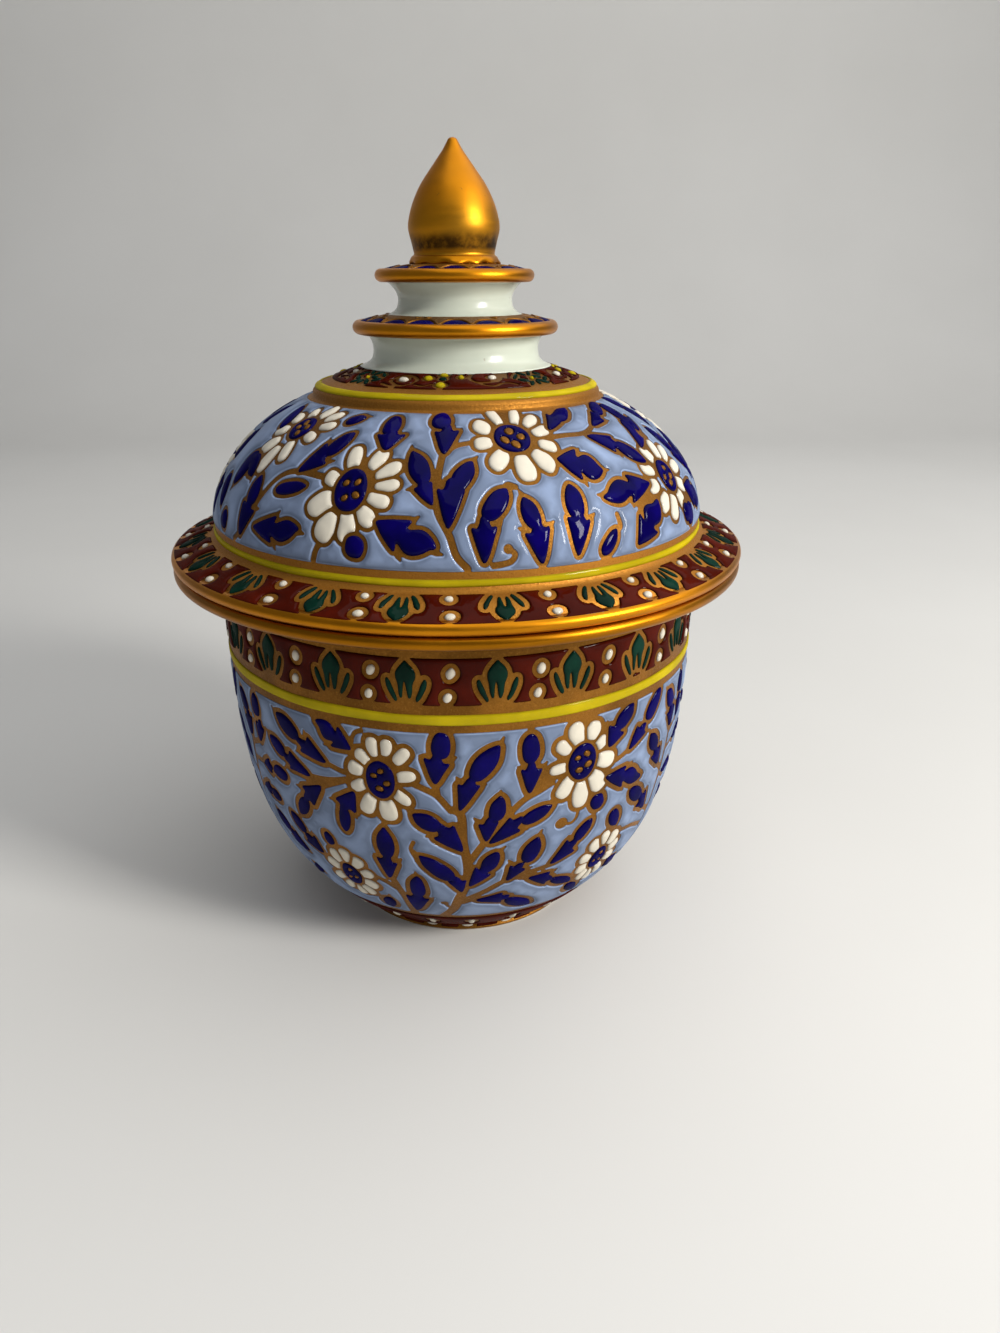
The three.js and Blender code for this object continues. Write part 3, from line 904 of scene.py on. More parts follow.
JAR_FLOWERS = (
    (-17.9, 41.6, 4.2, 6.1, (
        (-0.87, 5.43, 1.5, 2.6), (1.2, 5.54, 1.4, 2.2), (3.48, 4.35, 1.6, 2.6), (3.96, 0.98, 1.5, 2.5),
        (2.87, -2.5, 1.5, 3.3), (0.83, -5.2, 2.6, 3.3), (-2.28, -4.57, 2.1, 3.4), (-3.5, -1.5, 1.6, 2.5),
        (-3.87, 1.4, 2.2, 2.1), (-2.6, 3.5, 1.8, 2.3),
    )),
    (26.7, 42.7, 4.6, 5.9, (
        (-1.3, 5.0, 2.4, 3.3), (1.63, 4.9, 2.2, 2.5), (3.33, 2.4, 1.6, 2.1), (4.24, -0.87, 2.5, 3.3),
        (2.93, -4.24, 2.8, 3.9), (0.1, -5.76, 2.6, 4.5), (-2.7, -3.9, 2.2, 3.6), (-4.0, -0.33, 1.4, 2.7),
        (-3.43, 3.1, 1.7, 2.4),
    )),
)  # fmt: skip
JAR_SMALL_FLOWERS = ((-31.0, 20.0), (38.0, 20.5))
# Width and height of their hearts; reach across and up, number, width and length of their petals
SMALL_HEART = (3.6, 5.0)
SMALL_WREATH = (3.6, 4.8, 10, 2.0, 2.6)
JAR_STEMS = (
    (
        ((-7, 9.0), (-3.5, 13), (-1.8, 17), (0, 21), (0.7, 25.5), (-0.3, 31), (-0.6, 36), (-2.5, 37.2)),
        1.6, 1.2,
    ),
    (((-2.8, 37), (-5.6, 39.6), (-8.2, 40.7), (-10.4, 41.4)), 1.0, 1.0),
    (((-6, 41.8), (-5.6, 39.6)), 1.0, 1.0),
    (((0.5, 26.1), (3, 29.2), (4.6, 30.9)), 1.1, 1.1),
    (((5.2, 31.6), (7.7, 33.8), (10.3, 36.2), (13.1, 38.1), (16.3, 39.2), (19.4, 40.3)), 1.0, 1.0),
    (((0.5, 17.2), (4.6, 19), (9.3, 21.4), (13.1, 22.5), (17.5, 23.1), (22, 23.6)), 1.2, 1.1),
    (((13, 22), (16.6, 21.2)), 1.0, 1.0),
    (((-1, 15.5), (1.5, 16.4), (3.3, 16.4)), 1.0, 1.0),
    (((-16.4, 9.0), (-16.4, 15.3), (-17.3, 18.5), (-18.2, 21.2), (-19, 22.2)), 1.4, 1.1),
    (((-17.3, 18.5), (-20.1, 20.3), (-22.4, 21.2)), 1.1, 1.1),
    (((-31.2, 42.7), (-27, 41.9), (-24.8, 41.8)), 0.9, 0.9),
    (((-36.6, 39.3), (-31, 39.7), (-25, 40.8)), 0.9, 0.9),
    (((-33.9, 37.8), (-30, 39.2), (-27, 40.2)), 0.9, 0.9),
    (((-24.6, 38.3), (-24.2, 39.5)), 0.9, 0.9),
    (((33.5, 40.8), (37, 41.0), (40.6, 41.9)), 0.9, 0.9),
    (((44, 25), (50, 24), (56, 22)), 0.9, 0.9),
    (((56, 9), (57.5, 20), (58, 28), (59.5, 37), (60.2, 41)), 1.3, 1.0),
    (((55.2, 35), (58.5, 33.2)), 0.9, 0.9),
    (((53.2, 26.9), (57.6, 25)), 0.9, 0.9),
    (((61.4, 31.6), (58.6, 31)), 0.9, 0.9),
    (((65.2, 37), (60, 36.5)), 0.9, 0.9),
    (((65.3, 41), (60.5, 39.5)), 0.9, 0.9),
)  # fmt: skip
JAR_CURLS = (
    (((-3.2, 13.6), (-4.6, 13.8), (-5.8, 15.5)), 0.6, 0.6, 0.6),
    (((26.7, 34.2), (26.5, 32.7), (25.1, 31.8), (22.6, 32.3)), 0.5, 0.5, 1.0),
    (((-21.4, 49.4), (-23, 48.8), (-23.9, 47.5)), 0.7, 0.5, 0.4),
    (((-11.6, 30.8), (-12.4, 29.2), (-11.2, 26.8)), 0.6, 0.5, 0.35),
)  # fmt: skip


def jar_sketch(sizes):
    sketch = Sketch(JAR_RADIUS, sizes.wobble / MM, sizes.seed)
    for mark in JAR_COBALT:
        sketch.shape("cobalt", *mark)
    for a, s, width, height, petals in JAR_FLOWERS:
        sketch.heart(a, s, width, height)
        sketch.petals("cream", a, s, petals)
    for a, s in JAR_SMALL_FLOWERS:
        sketch.heart(a, s, *SMALL_HEART)
        sketch.wreath("cream", a, s, *SMALL_WREATH)
    for places, start, end in JAR_STEMS:
        sketch.stroke(places, start, end)
    for places, start, end, ball in JAR_CURLS:
        sketch.stroke(places, start, end, ball)
    return sketch


# The vine on the dome as far as the photograph shows it, in degrees and millimetres up the dome

DOME_COBALT = (
    ("bud", -19.6, 23.6, -19.6, 27.7, 3.4), ("arrow", -18.4, 20.7, -18.5, 23.9, 5.1),
    ("bud", -4.9, 25.2, -4.9, 28.8, 3.9), ("arrow", -3.3, 20.4, -3.0, 25.0, 4.3),
    ("lobe", -34.2, 19.0, -29.9, 23.3, 2.7), ("arrow", -39.3, 15.8, -33.9, 19.6, 3.6),
    ("lobe", -43.6, 12.5, -35.6, 13.6, 1.7), ("leaf", -47.4, 6.6, -34.4, 7.2, 3.4),
    ("lobe", -50.8, 9.3, -51.2, 13.7, 2.4), ("arrow", -52.6, 5.0, -51.0, 9.6, 3.4),
    ("lobe", -35.8, 25.6, -30.6, 27.0, 1.9), ("leaf", -16.4, 9.8, -5.4, 6.3, 4.2),
    ("bud", -20.6, 7.6, -20.6, 4.9, 2.6), ("lobe", -7.0, 15.3, -11.2, 20.4, 3.0),
    ("arrow", -5.4, 12.5, -8.0, 15.4, 2.6), ("lobe", -0.8, 14.6, 3.2, 18.6, 2.8),
    ("arrow", -2.2, 9.3, -1.6, 15.2, 3.9), ("lobe", 5.3, 10.4, 10.0, 14.3, 2.8),
    ("arrow", 4.6, 4.7, 5.0, 9.8, 3.2), ("lobe", 15.4, 8.8, 13.6, 12.8, 2.5),
    ("arrow", 16.0, 4.2, 15.4, 9.0, 3.4), ("lobe", 24.7, 9.6, 24.7, 14.1, 2.9),
    ("arrow", 23.7, 4.7, 25.0, 10.0, 3.4), ("lobe", 29.6, 4.2, 33.2, 7.1, 1.9),
    ("leaf", 39.1, 4.5, 47.4, 9.4, 4.2), ("arrow", 27.3, 24.2, 32.4, 26.8, 2.6),
    ("lobe", 31.6, 26.0, 40.4, 28.4, 2.2), ("leaf", 24.5, 18.4, 34.8, 16.0, 4.6),
    ("arrow", 38.1, 21.8, 45.4, 19.4, 2.9), ("lobe", 45.2, 19.6, 51.6, 15.7, 2.7),
    ("leaf", 48.0, 12.5, 33.2, 12.2, 3.7), ("arrow", 43.6, 23.7, 51.4, 25.8, 2.2),
    ("lobe", 51.6, 26.2, 60.0, 28.4, 2.3), ("lobe", 58.0, 20.4, 60.0, 23.4, 2.4),
    ("arrow", 55.0, 18.0, 59.0, 20.8, 2.8), ("bud", 62.6, 4.2, 63.6, 7.4, 2.4),
    ("lobe", -60.4, 17.0, -62.6, 11.4, 3.0), ("lobe", -60.0, 16.6, -55.6, 13.4, 2.3),
    ("bud", -62.8, 4.6, -61.2, 7.0, 2.4), ("lobe", -61.0, 22.2, -67.0, 27.0, 2.6),
    ("lobe", -68.6, 12.0, -66.4, 7.4, 2.6),
)  # fmt: skip
DOME_FLOWERS = (
    (-50.6, 23.0, 5.4, 4.6, (
        (-5.9, 1.6, 2.0, 3.0), (-5.9, -1.4, 1.9, 3.0), (-4.9, -4.4, 2.3, 3.6), (-1.9, -6.6, 2.3, 4.4),
        (1.6, -4.6, 2.0, 3.4), (4.8, -1.4, 1.6, 2.7), (6.8, 1.2, 1.5, 3.2), (6.0, 3.4, 1.6, 3.4),
        (2.4, 4.2, 1.8, 3.2), (-2.0, 3.0, 1.6, 2.9),
    )),
    (-23.6, 14.0, 5.0, 6.1, (
        (-1.4, 5.0, 2.2, 3.4), (3.2, 5.0, 2.1, 3.2), (5.6, 3.2, 1.8, 3.9), (5.9, 0.9, 1.5, 3.2),
        (4.9, -1.3, 1.7, 3.0), (3.4, -3.7, 2.0, 2.6), (0.6, -5.3, 2.4, 3.6), (-2.7, -5.6, 2.8, 3.6),
        (-4.5, -2.5, 2.8, 4.0), (-3.9, 1.3, 1.9, 2.4),
    )),
    (14.9, 22.9, 6.9, 5.4, (
        (-5.7, 2.5, 2.7, 3.0), (-6.0, -0.9, 2.0, 2.8), (-3.7, -4.0, 2.5, 3.4), (0.5, -5.6, 3.0, 3.8),
        (4.2, -4.6, 2.8, 3.7), (6.3, -2.0, 1.8, 2.8), (6.6, 1.0, 1.7, 3.6), (5.7, 3.4, 1.8, 3.6),
        (2.7, 4.8, 1.9, 4.0), (-2.2, 4.9, 2.0, 3.6),
    )),
    (57.4, 12.6, 4.6, 5.0, (
        (-5.2, 1.8, 1.8, 2.8), (-2.0, 4.0, 1.8, 2.8), (2.0, 4.4, 1.9, 3.2), (4.6, 3.2, 1.8, 3.2),
        (5.4, 0.6, 1.7, 3.0), (3.8, -2.2, 1.8, 3.0), (1.4, -4.2, 1.9, 3.2), (-2.2, -4.8, 2.2, 3.4),
        (-4.6, -3.6, 2.0, 3.2), (-6.0, -0.8, 1.9, 2.6),
    )),
)  # fmt: skip
DOME_STEMS = (
    (((1.5, 3.9), (-0.6, 5.6), (-1.9, 8.2), (-4.2, 11.2), (-4.8, 14), (-4.4, 17), (-3.7, 20.2)), 1.1, 1.1),
    (((-3.3, 20.4), (-0.6, 21.6), (2.6, 22.1), (5.0, 22.4)), 1.1, 1.0),
    (
        ((-55.4, 3.8), (-52.5, 5.4), (-49.5, 8.2), (-47.4, 11.4), (-44.4, 14.4), (-39.6, 15.7), (-31, 15.4)),
        0.9, 1.2,
    ),
    (((24, 22.4), (30, 22.6), (38, 22.6), (44.2, 24)), 1.2, 0.9),
    (((38, 22.6), (38.2, 21.8)), 1.0, 1.0),
    (((46.8, 12.6), (50, 13)), 1.0, 1.0),
    (((47, 9.6), (50, 10.4)), 0.9, 0.9),
    (((-27.6, 7), (-29, 5.4), (-29.6, 3.9)), 1.0, 1.0),
    (((-18.4, 20.9), (-18.6, 19.4)), 1.2, 1.2),
)  # fmt: skip
DOME_CURLS = (
    (((9.8, 14.1), (10.6, 15.0), (12.2, 14.6)), 0.8, 0.8, 0.35),
    (((6.4, 4.2), (9.6, 4.6), (10.6, 5.6), (9.3, 6.3)), 0.8, 0.6, 0.6),
    (((33.2, 7.1), (34.6, 7.6), (34.4, 9.2)), 0.9, 0.7, 0.35),
)  # fmt: skip
# Leaves that close the pattern where its two ends meet on the left
DOME_LEFT_COBALT = (
    ("lobe", -75.4, 14.2, -76.6, 19.8, 2.7), ("arrow", -73.8, 5.0, -75.0, 10.4, 3.2),
    ("lobe", -82.0, 20.6, -79.0, 26.0, 2.8), ("arrow", -88.6, 20.8, -90.6, 25.4, 3.0),
)  # fmt: skip
DOME_LEFT_STEMS = ((((-79.6, 3.8), (-78.6, 9.0), (-79.0, 14.0), (-80.6, 20.0)), 1.0, 0.9),)
# How much of its drawn width a stem of the dome is given
DOME_STEM_SHARE = 0.8
# Angles between which the front pattern is copied, and those between which each copy lies at the back
DOME_FRONT = (-25.0, 57.0)
DOME_BACK = (57.0, 129.0, 201.0, 273.0)


def dome_sketch(sizes):
    sketch = Sketch(BRIM_SHOULDER_RADIUS, sizes.wobble / MM, sizes.seed + 1)
    for mark in DOME_COBALT + DOME_LEFT_COBALT:
        sketch.shape("cobalt", *mark)
    for a, s, width, height, petals in DOME_FLOWERS:
        sketch.heart(a, s, width, height)
        sketch.petals("cream", a, s, petals)
    for places, start, end in DOME_STEMS + DOME_LEFT_STEMS:
        sketch.stroke(places, start * DOME_STEM_SHARE, end * DOME_STEM_SHARE)
    for places, start, end, ball in DOME_CURLS:
        sketch.stroke(places, start, end, ball)
    middle = sum(DOME_FRONT) / 2
    share = (DOME_BACK[1] - DOME_BACK[0]) / (DOME_FRONT[1] - DOME_FRONT[0])
    for start, end in zip(DOME_BACK, DOME_BACK[1:]):
        turn = (start + end) / 2 - middle * share

        def at(a):
            return turn + a * share

        def stroke(places, *widths):
            sketch.stroke([(at(a), s) for a, s in places], *widths)

        for kind, base_a, base_s, tip_a, tip_s, width in DOME_COBALT:
            if DOME_FRONT[0] + 2 < (base_a + tip_a) / 2 < DOME_FRONT[1] - 6:
                sketch.shape("cobalt", kind, at(base_a), base_s, at(tip_a), tip_s, width * 0.95)
        for a, s, width, height, petals in DOME_FLOWERS[2:]:
            petals = [(x * 0.93, y, w * 0.95, h * 0.97) for x, y, w, h in petals]
            sketch.heart(at(a), s, width * 0.93, height)
            sketch.petals("cream", at(a), s, petals)
        for places, first, last in DOME_STEMS:
            if places[0][0] > DOME_FRONT[0]:
                stroke(places, first * DOME_STEM_SHARE, last * DOME_STEM_SHARE)
        for places, first, last, ball in DOME_CURLS:
            stroke(places, first, last, ball)
    return sketch


# Palmettes and dots of the two borders, in millimetres from the palmette's middle and foot

SPADE = (
    (0.0, 6.45), (0.5, 5.9), (1.1, 5.3), (1.5, 4.5), (1.4, 3.7), (1.05, 3.05), (0.95, 2.4), (0.85, 1.7),
    (0.55, 0.9), (0.22, 0.85), (0.05, 1.9), (-0.05, 2.9), (-0.22, 3.5), (-0.42, 2.9), (-0.5, 1.9),
    (-0.55, 0.9), (-0.88, 0.9), (-1.15, 1.7), (-1.2, 2.4), (-1.25, 3.1), (-1.5, 3.8), (-1.5, 4.6),
    (-1.05, 5.35), (-0.5, 5.95),
)  # fmt: skip
SIDE_LOBE = (
    (3.1, 3.5), (2.75, 3.8), (2.3, 3.1), (1.95, 2.2), (1.6, 1.4),
    (1.3, 0.7), (1.5, 0.3), (2.0, 0.75), (2.55, 1.6), (3.0, 2.5),
)  # fmt: skip
SPADE_HEIGHT = 6.1


def palmette(sketch, foot, tall, wide):
    """A palmette of a split spade leaf between two slim lobes, at angle zero."""
    for part in (SPADE, SIDE_LOBE, [(-x, y) for x, y in SIDE_LOBE][::-1]):
        outline = np.array(part) * (wide, tall / SPADE_HEIGHT) + (0, foot)
        sketch.add("green", sketch.strayed(rounded(outline)))


# Pieces


def piece(item, body, slot, *replaced, paint=None):
    """Gives a mesh the paint of its slot, or a paint of its own, sets it on its body and hides the solids
    that it replaces.
    """
    item.data.materials.clear()
    item.data.materials.append(finish_for(paint or slot))
    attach(item, body)
    if replaced:
        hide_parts(*replaced)


class Wire:
    """A shader socket that takes part in Python sums."""

    def __init__(self, paint, socket):
        self.paint, self.socket = paint, socket

    def _sum(self, operation, *values):
        return self.paint.node("ShaderNodeMath", {"operation": operation}, dict(enumerate(values)))

    def __add__(self, other):
        return self._sum("ADD", self, other)

    def __sub__(self, other):
        return self._sum("SUBTRACT", self, other)

    def __rsub__(self, other):
        return self._sum("SUBTRACT", other, self)

    def __mul__(self, other):
        return self._sum("MULTIPLY", self, other)

    __radd__ = __add__
    __rmul__ = __mul__


class Paint:
    """A material under construction."""

    def __init__(self, name):
        self.material = bpy.data.materials.new(name)
        self.material.use_nodes = True
        self.tree = self.material.node_tree
        self.tree.nodes.clear()

    def node(self, kind, settings=None, sockets=None, output=0):
        """A node of a kind with its settings and then its sockets, and one of its outputs."""
        node = self.tree.nodes.new(kind)
        for key, value in (settings or {}).items():
            setattr(node, key, value)
        for key, value in (sockets or {}).items():
            if isinstance(value, Wire):
                self.tree.links.new(value.socket, node.inputs[key])
            else:
                node.inputs[key].default_value = value
        return Wire(self, node.outputs[output]) if node.outputs else None

    def place(self):
        return self.node("ShaderNodeTexCoord", output="Object")

    def height(self, cloud, ragged):
        """How high a place is, in metres, strayed by a cloud."""
        up = self.node("ShaderNodeSeparateXYZ", None, {"Vector": self.place()}, "Z")
        return up + (cloud - 0.5) * ragged

    def noise(self, scale, detail=3.0, roughness=0.55, stretch=None):
        place = self.place()
        if stretch:
            place = self.node("ShaderNodeMapping", None, {"Vector": place, "Scale": stretch})
        sockets = {"Vector": place, "Scale": scale, "Detail": detail, "Roughness": roughness}
        return self.node("ShaderNodeTexNoise", None, sockets, "Fac")

    def ramp(self, value, low, high, start=0.0, end=1.0):
        """A value carried smoothly from start to end as another goes from low to high."""
        sockets = {"Value": value, "From Min": low, "From Max": high, "To Min": start, "To Max": end}
        return self.node("ShaderNodeMapRange", {"interpolation_type": "SMOOTHSTEP"}, sockets)

    def band(self, value, rising, falling, most=1.0):
        """A value that rises from nothing in one range of another and falls back in a second range."""
        return self.ramp(value, *rising) * self.ramp(value, *falling, most, 0.0)

    def mix(self, share, one, other):
        """A colour that goes from one to the other; the numbers are the node's colour sockets."""
        sockets = {0: share, 6: self.colour(one), 7: self.colour(other)}
        return self.node("ShaderNodeMix", {"data_type": "RGBA"}, sockets, 2)

    @staticmethod
    def colour(value):
        return value if isinstance(value, Wire) else (*value, 1.0)

    def bump(self, height, strength, distance):
        sockets = {"Height": height, "Strength": strength, "Distance": distance}
        return self.node("ShaderNodeBump", None, sockets)

    def finish(self, **sockets):
        """The material, with its shader's sockets filled in."""
        values = {key.replace("_", " "): value for key, value in sockets.items()}
        values["Base Color"] = self.colour(values["Base Color"])
        shader = self.node("ShaderNodeBsdfPrincipled", None, values)
        self.node("ShaderNodeOutputMaterial", None, {"Surface": shader})
        return self.material


def shade(colour, factor):
    return tuple(min(1.0, c * factor) for c in colour)


def enamel_paint(name, colour, edge, mottle, thin=(0.0, 0.34), coat=0.12, pool=None, lip=0.0):
    """Glossy enamel: painted shade beside the gold, faintly uneven, painted highlight along a raised lip."""
    # How strong the painted shade beside the gold is, and how far in it reaches
    strength, reach = pool or (edge * 0.5, 1.3)
    paint = Paint(name)
    depth = paint.node("ShaderNodeAttribute", {"attribute_name": "depth"}, output="Fac")
    cloud = paint.noise(150.0, 4.0)
    fine = paint.noise(1400.0, 2.0)
    base = paint.mix(paint.ramp(cloud, 0.35, 0.68), shade(colour, 1 - mottle), shade(colour, 1 + mottle))
    # Painted shade: darkens the enamel over a wide band beside the gold lines
    wide = paint.ramp(depth + (cloud - 0.5) * 0.9, 0.1, reach, strength, 0.0)
    base = paint.mix(wide, base, shade(colour, 0.42))
    # Painted highlight: a pale line, in patches, along the enamel's raised lip beside the gold
    if lip:
        along = paint.band(depth, (0.04, 0.14), (0.16, 0.36), lip)
        along = along * paint.ramp(paint.noise(210.0, 2.0), 0.36, 0.62, 0.3, 1.0)
        base = paint.mix(along, base, shade(colour, 2.1))
    base = paint.mix(paint.ramp(depth, *thin, edge, 0.0), base, shade(colour, 0.3))
    ripple = paint.noise(260.0, 2.0) * 0.8 + fine * 0.02
    return paint.finish(
        Base_Color=base,
        Roughness=paint.ramp(fine, 0.3, 0.8, 0.16, 0.3),
        IOR=1.45,
        Specular_IOR_Level=0.0,
        Coat_Weight=coat,
        Coat_Roughness=0.06,
        Normal=paint.bump(ripple, 0.32, 0.0005),
    )


def gold_line_paint(name, colour, painted_light_bands=()):
    """Matt fired gold: brown in its hollows, freckled with brighter grains, lighter in bands of painted
    light.
    """
    paint = Paint(name)
    cloud = paint.noise(120.0, 5.0, 0.6)
    grain = paint.noise(3200.0, 3.0, 0.7)
    base = paint.mix(paint.ramp(cloud, 0.32, 0.7), shade(colour, 0.72), shade(colour, 1.2))
    # Painted light: each band lightens the lid's gold where light falls on it
    for low, high, factor in painted_light_bands:
        height = paint.height(cloud, 0.0008)
        band = paint.band(height, (low - 0.0004, low), (high, high + 0.0004))
        base = paint.mix(band, base, shade(colour, factor))
    base = paint.mix(paint.ramp(grain, 0.52, 0.72, 0, 0.2), base, (0.5, 0.24, 0.05))
    base = paint.mix(paint.ramp(grain, 0.3, 0.42, 0.35, 0), base, shade(colour, 0.4))
    return paint.finish(
        Base_Color=base,
        Metallic=0.75,
        Specular_IOR_Level=0.1,
        Roughness=paint.ramp(grain, 0.35, 0.7, 0.6, 0.42),
        Normal=paint.bump(grain * 0.6 + cloud * 0.7, 0.5, 0.00022),
    )


def rim_gold_paint(name, colour, for_bud=False):
    """Burnished gold, brushed round, with worn dark flecks; on the bud, a ragged dark band above its foot and
    a painted dark reflection over its lower part.
    """
    paint = Paint(name)
    cloud = paint.noise(70.0, 4.0)
    rings = paint.noise(900.0, 3.0, 0.6, (0.12, 0.12, 1.0))
    fleck = paint.noise(700.0, 4.0, 0.7)
    base = paint.mix(paint.ramp(cloud, 0.35, 0.7), shade(colour, 0.85), shade(colour, 1.12))
    if for_bud:
        ragged = paint.height(cloud, 0.0016)
        foot = UPPER_TOP * MM
        # A ragged dark band, in patches, a little above the bud's foot
        band = paint.band(ragged, (foot + 0.0013, foot + 0.0021), (foot + 0.0028, foot + 0.0047))
        band_patches = paint.ramp(paint.noise(420.0, 4.0, 0.65), 0.3, 0.6, 0.45, 1.0)
        warmth = paint.ramp(ragged, foot + 0.004, foot + 0.011, 0.45, 0)
        base = paint.mix(warmth, base, (0.5, 0.25, 0.015))
        # Painted reflection: dark olive patches over the lower part of the bud
        painted_reflection = paint.ramp(paint.noise(110.0, 2.0), 0.42, 0.62)
        painted_reflection = painted_reflection * paint.ramp(ragged, foot + 0.006, foot + 0.011, 0.4, 0)
        base = paint.mix(painted_reflection, base, (0.2, 0.105, 0.012))
        base = paint.mix(band * band_patches, base, (0.05, 0.023, 0.005))
    base = paint.mix(paint.ramp(fleck, 0.68, 0.74, 0, 0.7), base, (0.12, 0.05, 0.02))
    brushing, smooth, dull = (0.04, 0.42, 0.5) if for_bud else (0.2, 0.32, 0.42)
    return paint.finish(
        Base_Color=base,
        Metallic=1.0,
        Roughness=paint.ramp(rings, 0.3, 0.7, smooth, dull),
        Normal=paint.bump(rings * brushing + cloud * 0.6, 0.2, 0.0003),
    )


def glaze_paint(name, colour):
    """White porcelain glaze, faintly green, with a soft bloom and a few pinholes."""
    paint = Paint(name)
    cloud = paint.noise(60.0, 3.0)
    speck = paint.noise(900.0, 2.0)
    base = paint.mix(paint.ramp(cloud, 0.35, 0.7), shade(colour, 0.95), shade(colour, 1.05))
    base = paint.mix(paint.ramp(speck, 0.74, 0.78, 0, 0.5), base, (0.3, 0.25, 0.18))
    return paint.finish(
        Base_Color=base,
        Roughness=paint.ramp(cloud, 0.3, 0.7, 0.2, 0.26),
        Specular_IOR_Level=0.25,
        Coat_Weight=0.2,
        Coat_Roughness=0.16,
        Normal=paint.bump(paint.noise(180.0, 2.0), 0.12, 0.0004),
    )


def biscuit_paint(name, colour):
    """Ground, unglazed porcelain: dry and gritty, greyed where it has stood."""
    paint = Paint(name)
    grit = paint.noise(1500.0, 5.0, 0.7)
    cloud = paint.noise(90.0, 4.0)
    base = paint.mix(paint.ramp(cloud, 0.3, 0.7), shade(colour, 0.8), shade(colour, 1.1))
    base = paint.mix(paint.ramp(grit, 0.6, 0.75, 0, 0.6), base, (0.2, 0.15, 0.1))
    return paint.finish(Base_Color=base, Roughness=0.85, Normal=paint.bump(grit, 0.5, 0.0002))


# Painted light: heights in metres between which the lid's gold is painted lighter, on the brim and round the
# crown, and how much lighter it is there
LID_PAINTED_LIGHT = (
    ((SEAT_HEIGHT + 1.5) * MM, (SEAT_HEIGHT + DOME_FOOT_RISE + 1.0) * MM, 1.75),
    ((DOME_TOP - 0.2) * MM, (CROWN_EDGE + 1.2) * MM, 1.4),
)
# How each enamel lies: how dark its thin edge is and how uneven its body, and where they differ from the
# rest where it is thin, how it shines, how strong and how wide the painted shade beside the gold is, and how
# pale the painted highlight along its raised lip is
ENAMELS = {
    "periwinkle": dict(edge=0.3, mottle=0.1, thin=(0.0, 0.1), coat=0.2, pool=(0.72, 1.6), lip=0.34),
    "cobalt": dict(edge=0.5, mottle=0.3),
    "cream": dict(edge=0.3, mottle=0.05, coat=0.25),
    "maroon": dict(edge=0.5, mottle=0.25),
    "green": dict(edge=0.5, mottle=0.35),
    "yellow": dict(edge=0.45, mottle=0.12, coat=0.14),
}
# Shares of their gold for the jar's lip, darkened as painted shade under the brim, and for the lid's line
# gold
LIP_PAINTED_SHADE, LID_GOLD_SHADE = 0.66, 0.92
FINISHES = {
    "white_glaze": lambda colours: glaze_paint("white_glaze", colours.glaze),
    "biscuit": lambda colours: biscuit_paint("biscuit", colours.biscuit),
    "gilding": lambda colours: rim_gold_paint("rim_gold", colours.rim_gold),
    # Painted shade: a darker copy of the rim gold for the jar's lip under the brim
    "lip_gold": lambda colours: rim_gold_paint("lip_gold", shade(colours.rim_gold, LIP_PAINTED_SHADE)),
    "bud_gold": lambda colours: rim_gold_paint("bud_gold", colours.rim_gold, True),
    "line_gold": lambda colours: gold_line_paint("line_gold", colours.gold),
    # The lid's line gold, with its bands of painted light
    "lid_gold": lambda colours: gold_line_paint("lid_gold", shade(colours.gold, LID_GOLD_SHADE), LID_PAINTED_LIGHT),
}
_paints = {}


def finish_for(paint):
    """The material of a slot or a paint of its own, made when it is first asked for."""
    if paint not in _paints:
        colours = bpy.context.scene.jar_colours
        name = paint.removesuffix("_enamel")
        if name in ENAMELS:
            _paints[paint] = enamel_paint(name, getattr(colours, name), **ENAMELS[name])
        else:
            _paints[paint] = FINISHES[paint](colours)
    return _paints[paint]


# Repeats round the axis


REPEAT_TREE = "Set Round The Axis"
REPEAT_INPUTS = (
    ("Geometry", "NodeSocketGeometry"),
    ("Motifs", "NodeSocketCollection"),
    ("Turn", "NodeSocketFloat"),
    ("Material", "NodeSocketMaterial"),
)
REPEAT_NODES = {
    "given": "NodeGroupInput",
    "result": "NodeGroupOutput",
    "motifs": "GeometryNodeCollectionInfo",
    "angle": "GeometryNodeInputNamedAttribute",
    "kind": "GeometryNodeInputNamedAttribute",
    "total": "ShaderNodeMath",
    "rotation": "ShaderNodeCombineXYZ",
    "copies": "GeometryNodeInstanceOnPoints",
    "whole": "GeometryNodeRealizeInstances",
    "coloured": "GeometryNodeSetMaterial",
}
REPEAT_LINKS = (
    ("given", "Motifs", "motifs", "Collection"),
    ("angle", "Attribute", "total", 0),
    ("given", "Turn", "total", 1),
    ("total", 0, "rotation", "Z"),
    ("given", "Geometry", "copies", "Points"),
    ("motifs", "Instances", "copies", "Instance"),
    ("kind", "Attribute", "copies", "Instance Index"),
    ("rotation", "Vector", "copies", "Rotation"),
    ("copies", "Instances", "whole", "Geometry"),
    ("whole", "Geometry", "coloured", "Geometry"),
    ("given", "Material", "coloured", "Material"),
    ("coloured", "Geometry", "result", "Geometry"),
)


def repeat_tree():
    """Copies of motifs set round the axis: one for each point, turned by the point's own angle."""
    tree = bpy.data.node_groups.new(REPEAT_TREE, "GeometryNodeTree")
    for name, kind in REPEAT_INPUTS:
        tree.interface.new_socket(name, in_out="INPUT", socket_type=kind)
    tree.interface.new_socket("Geometry", in_out="OUTPUT", socket_type="NodeSocketGeometry")
    nodes = {name: tree.nodes.new(kind) for name, kind in REPEAT_NODES.items()}
    nodes["kind"].data_type = "INT"
    nodes["angle"].inputs["Name"].default_value = "turn"
    nodes["kind"].inputs["Name"].default_value = "kind"
    nodes["motifs"].inputs["Separate Children"].default_value = True
    nodes["copies"].inputs["Pick Instance"].default_value = True
    for start, output, end, socket in REPEAT_LINKS:
        tree.links.new(nodes[start].outputs[output], nodes[end].inputs[socket])
    return tree


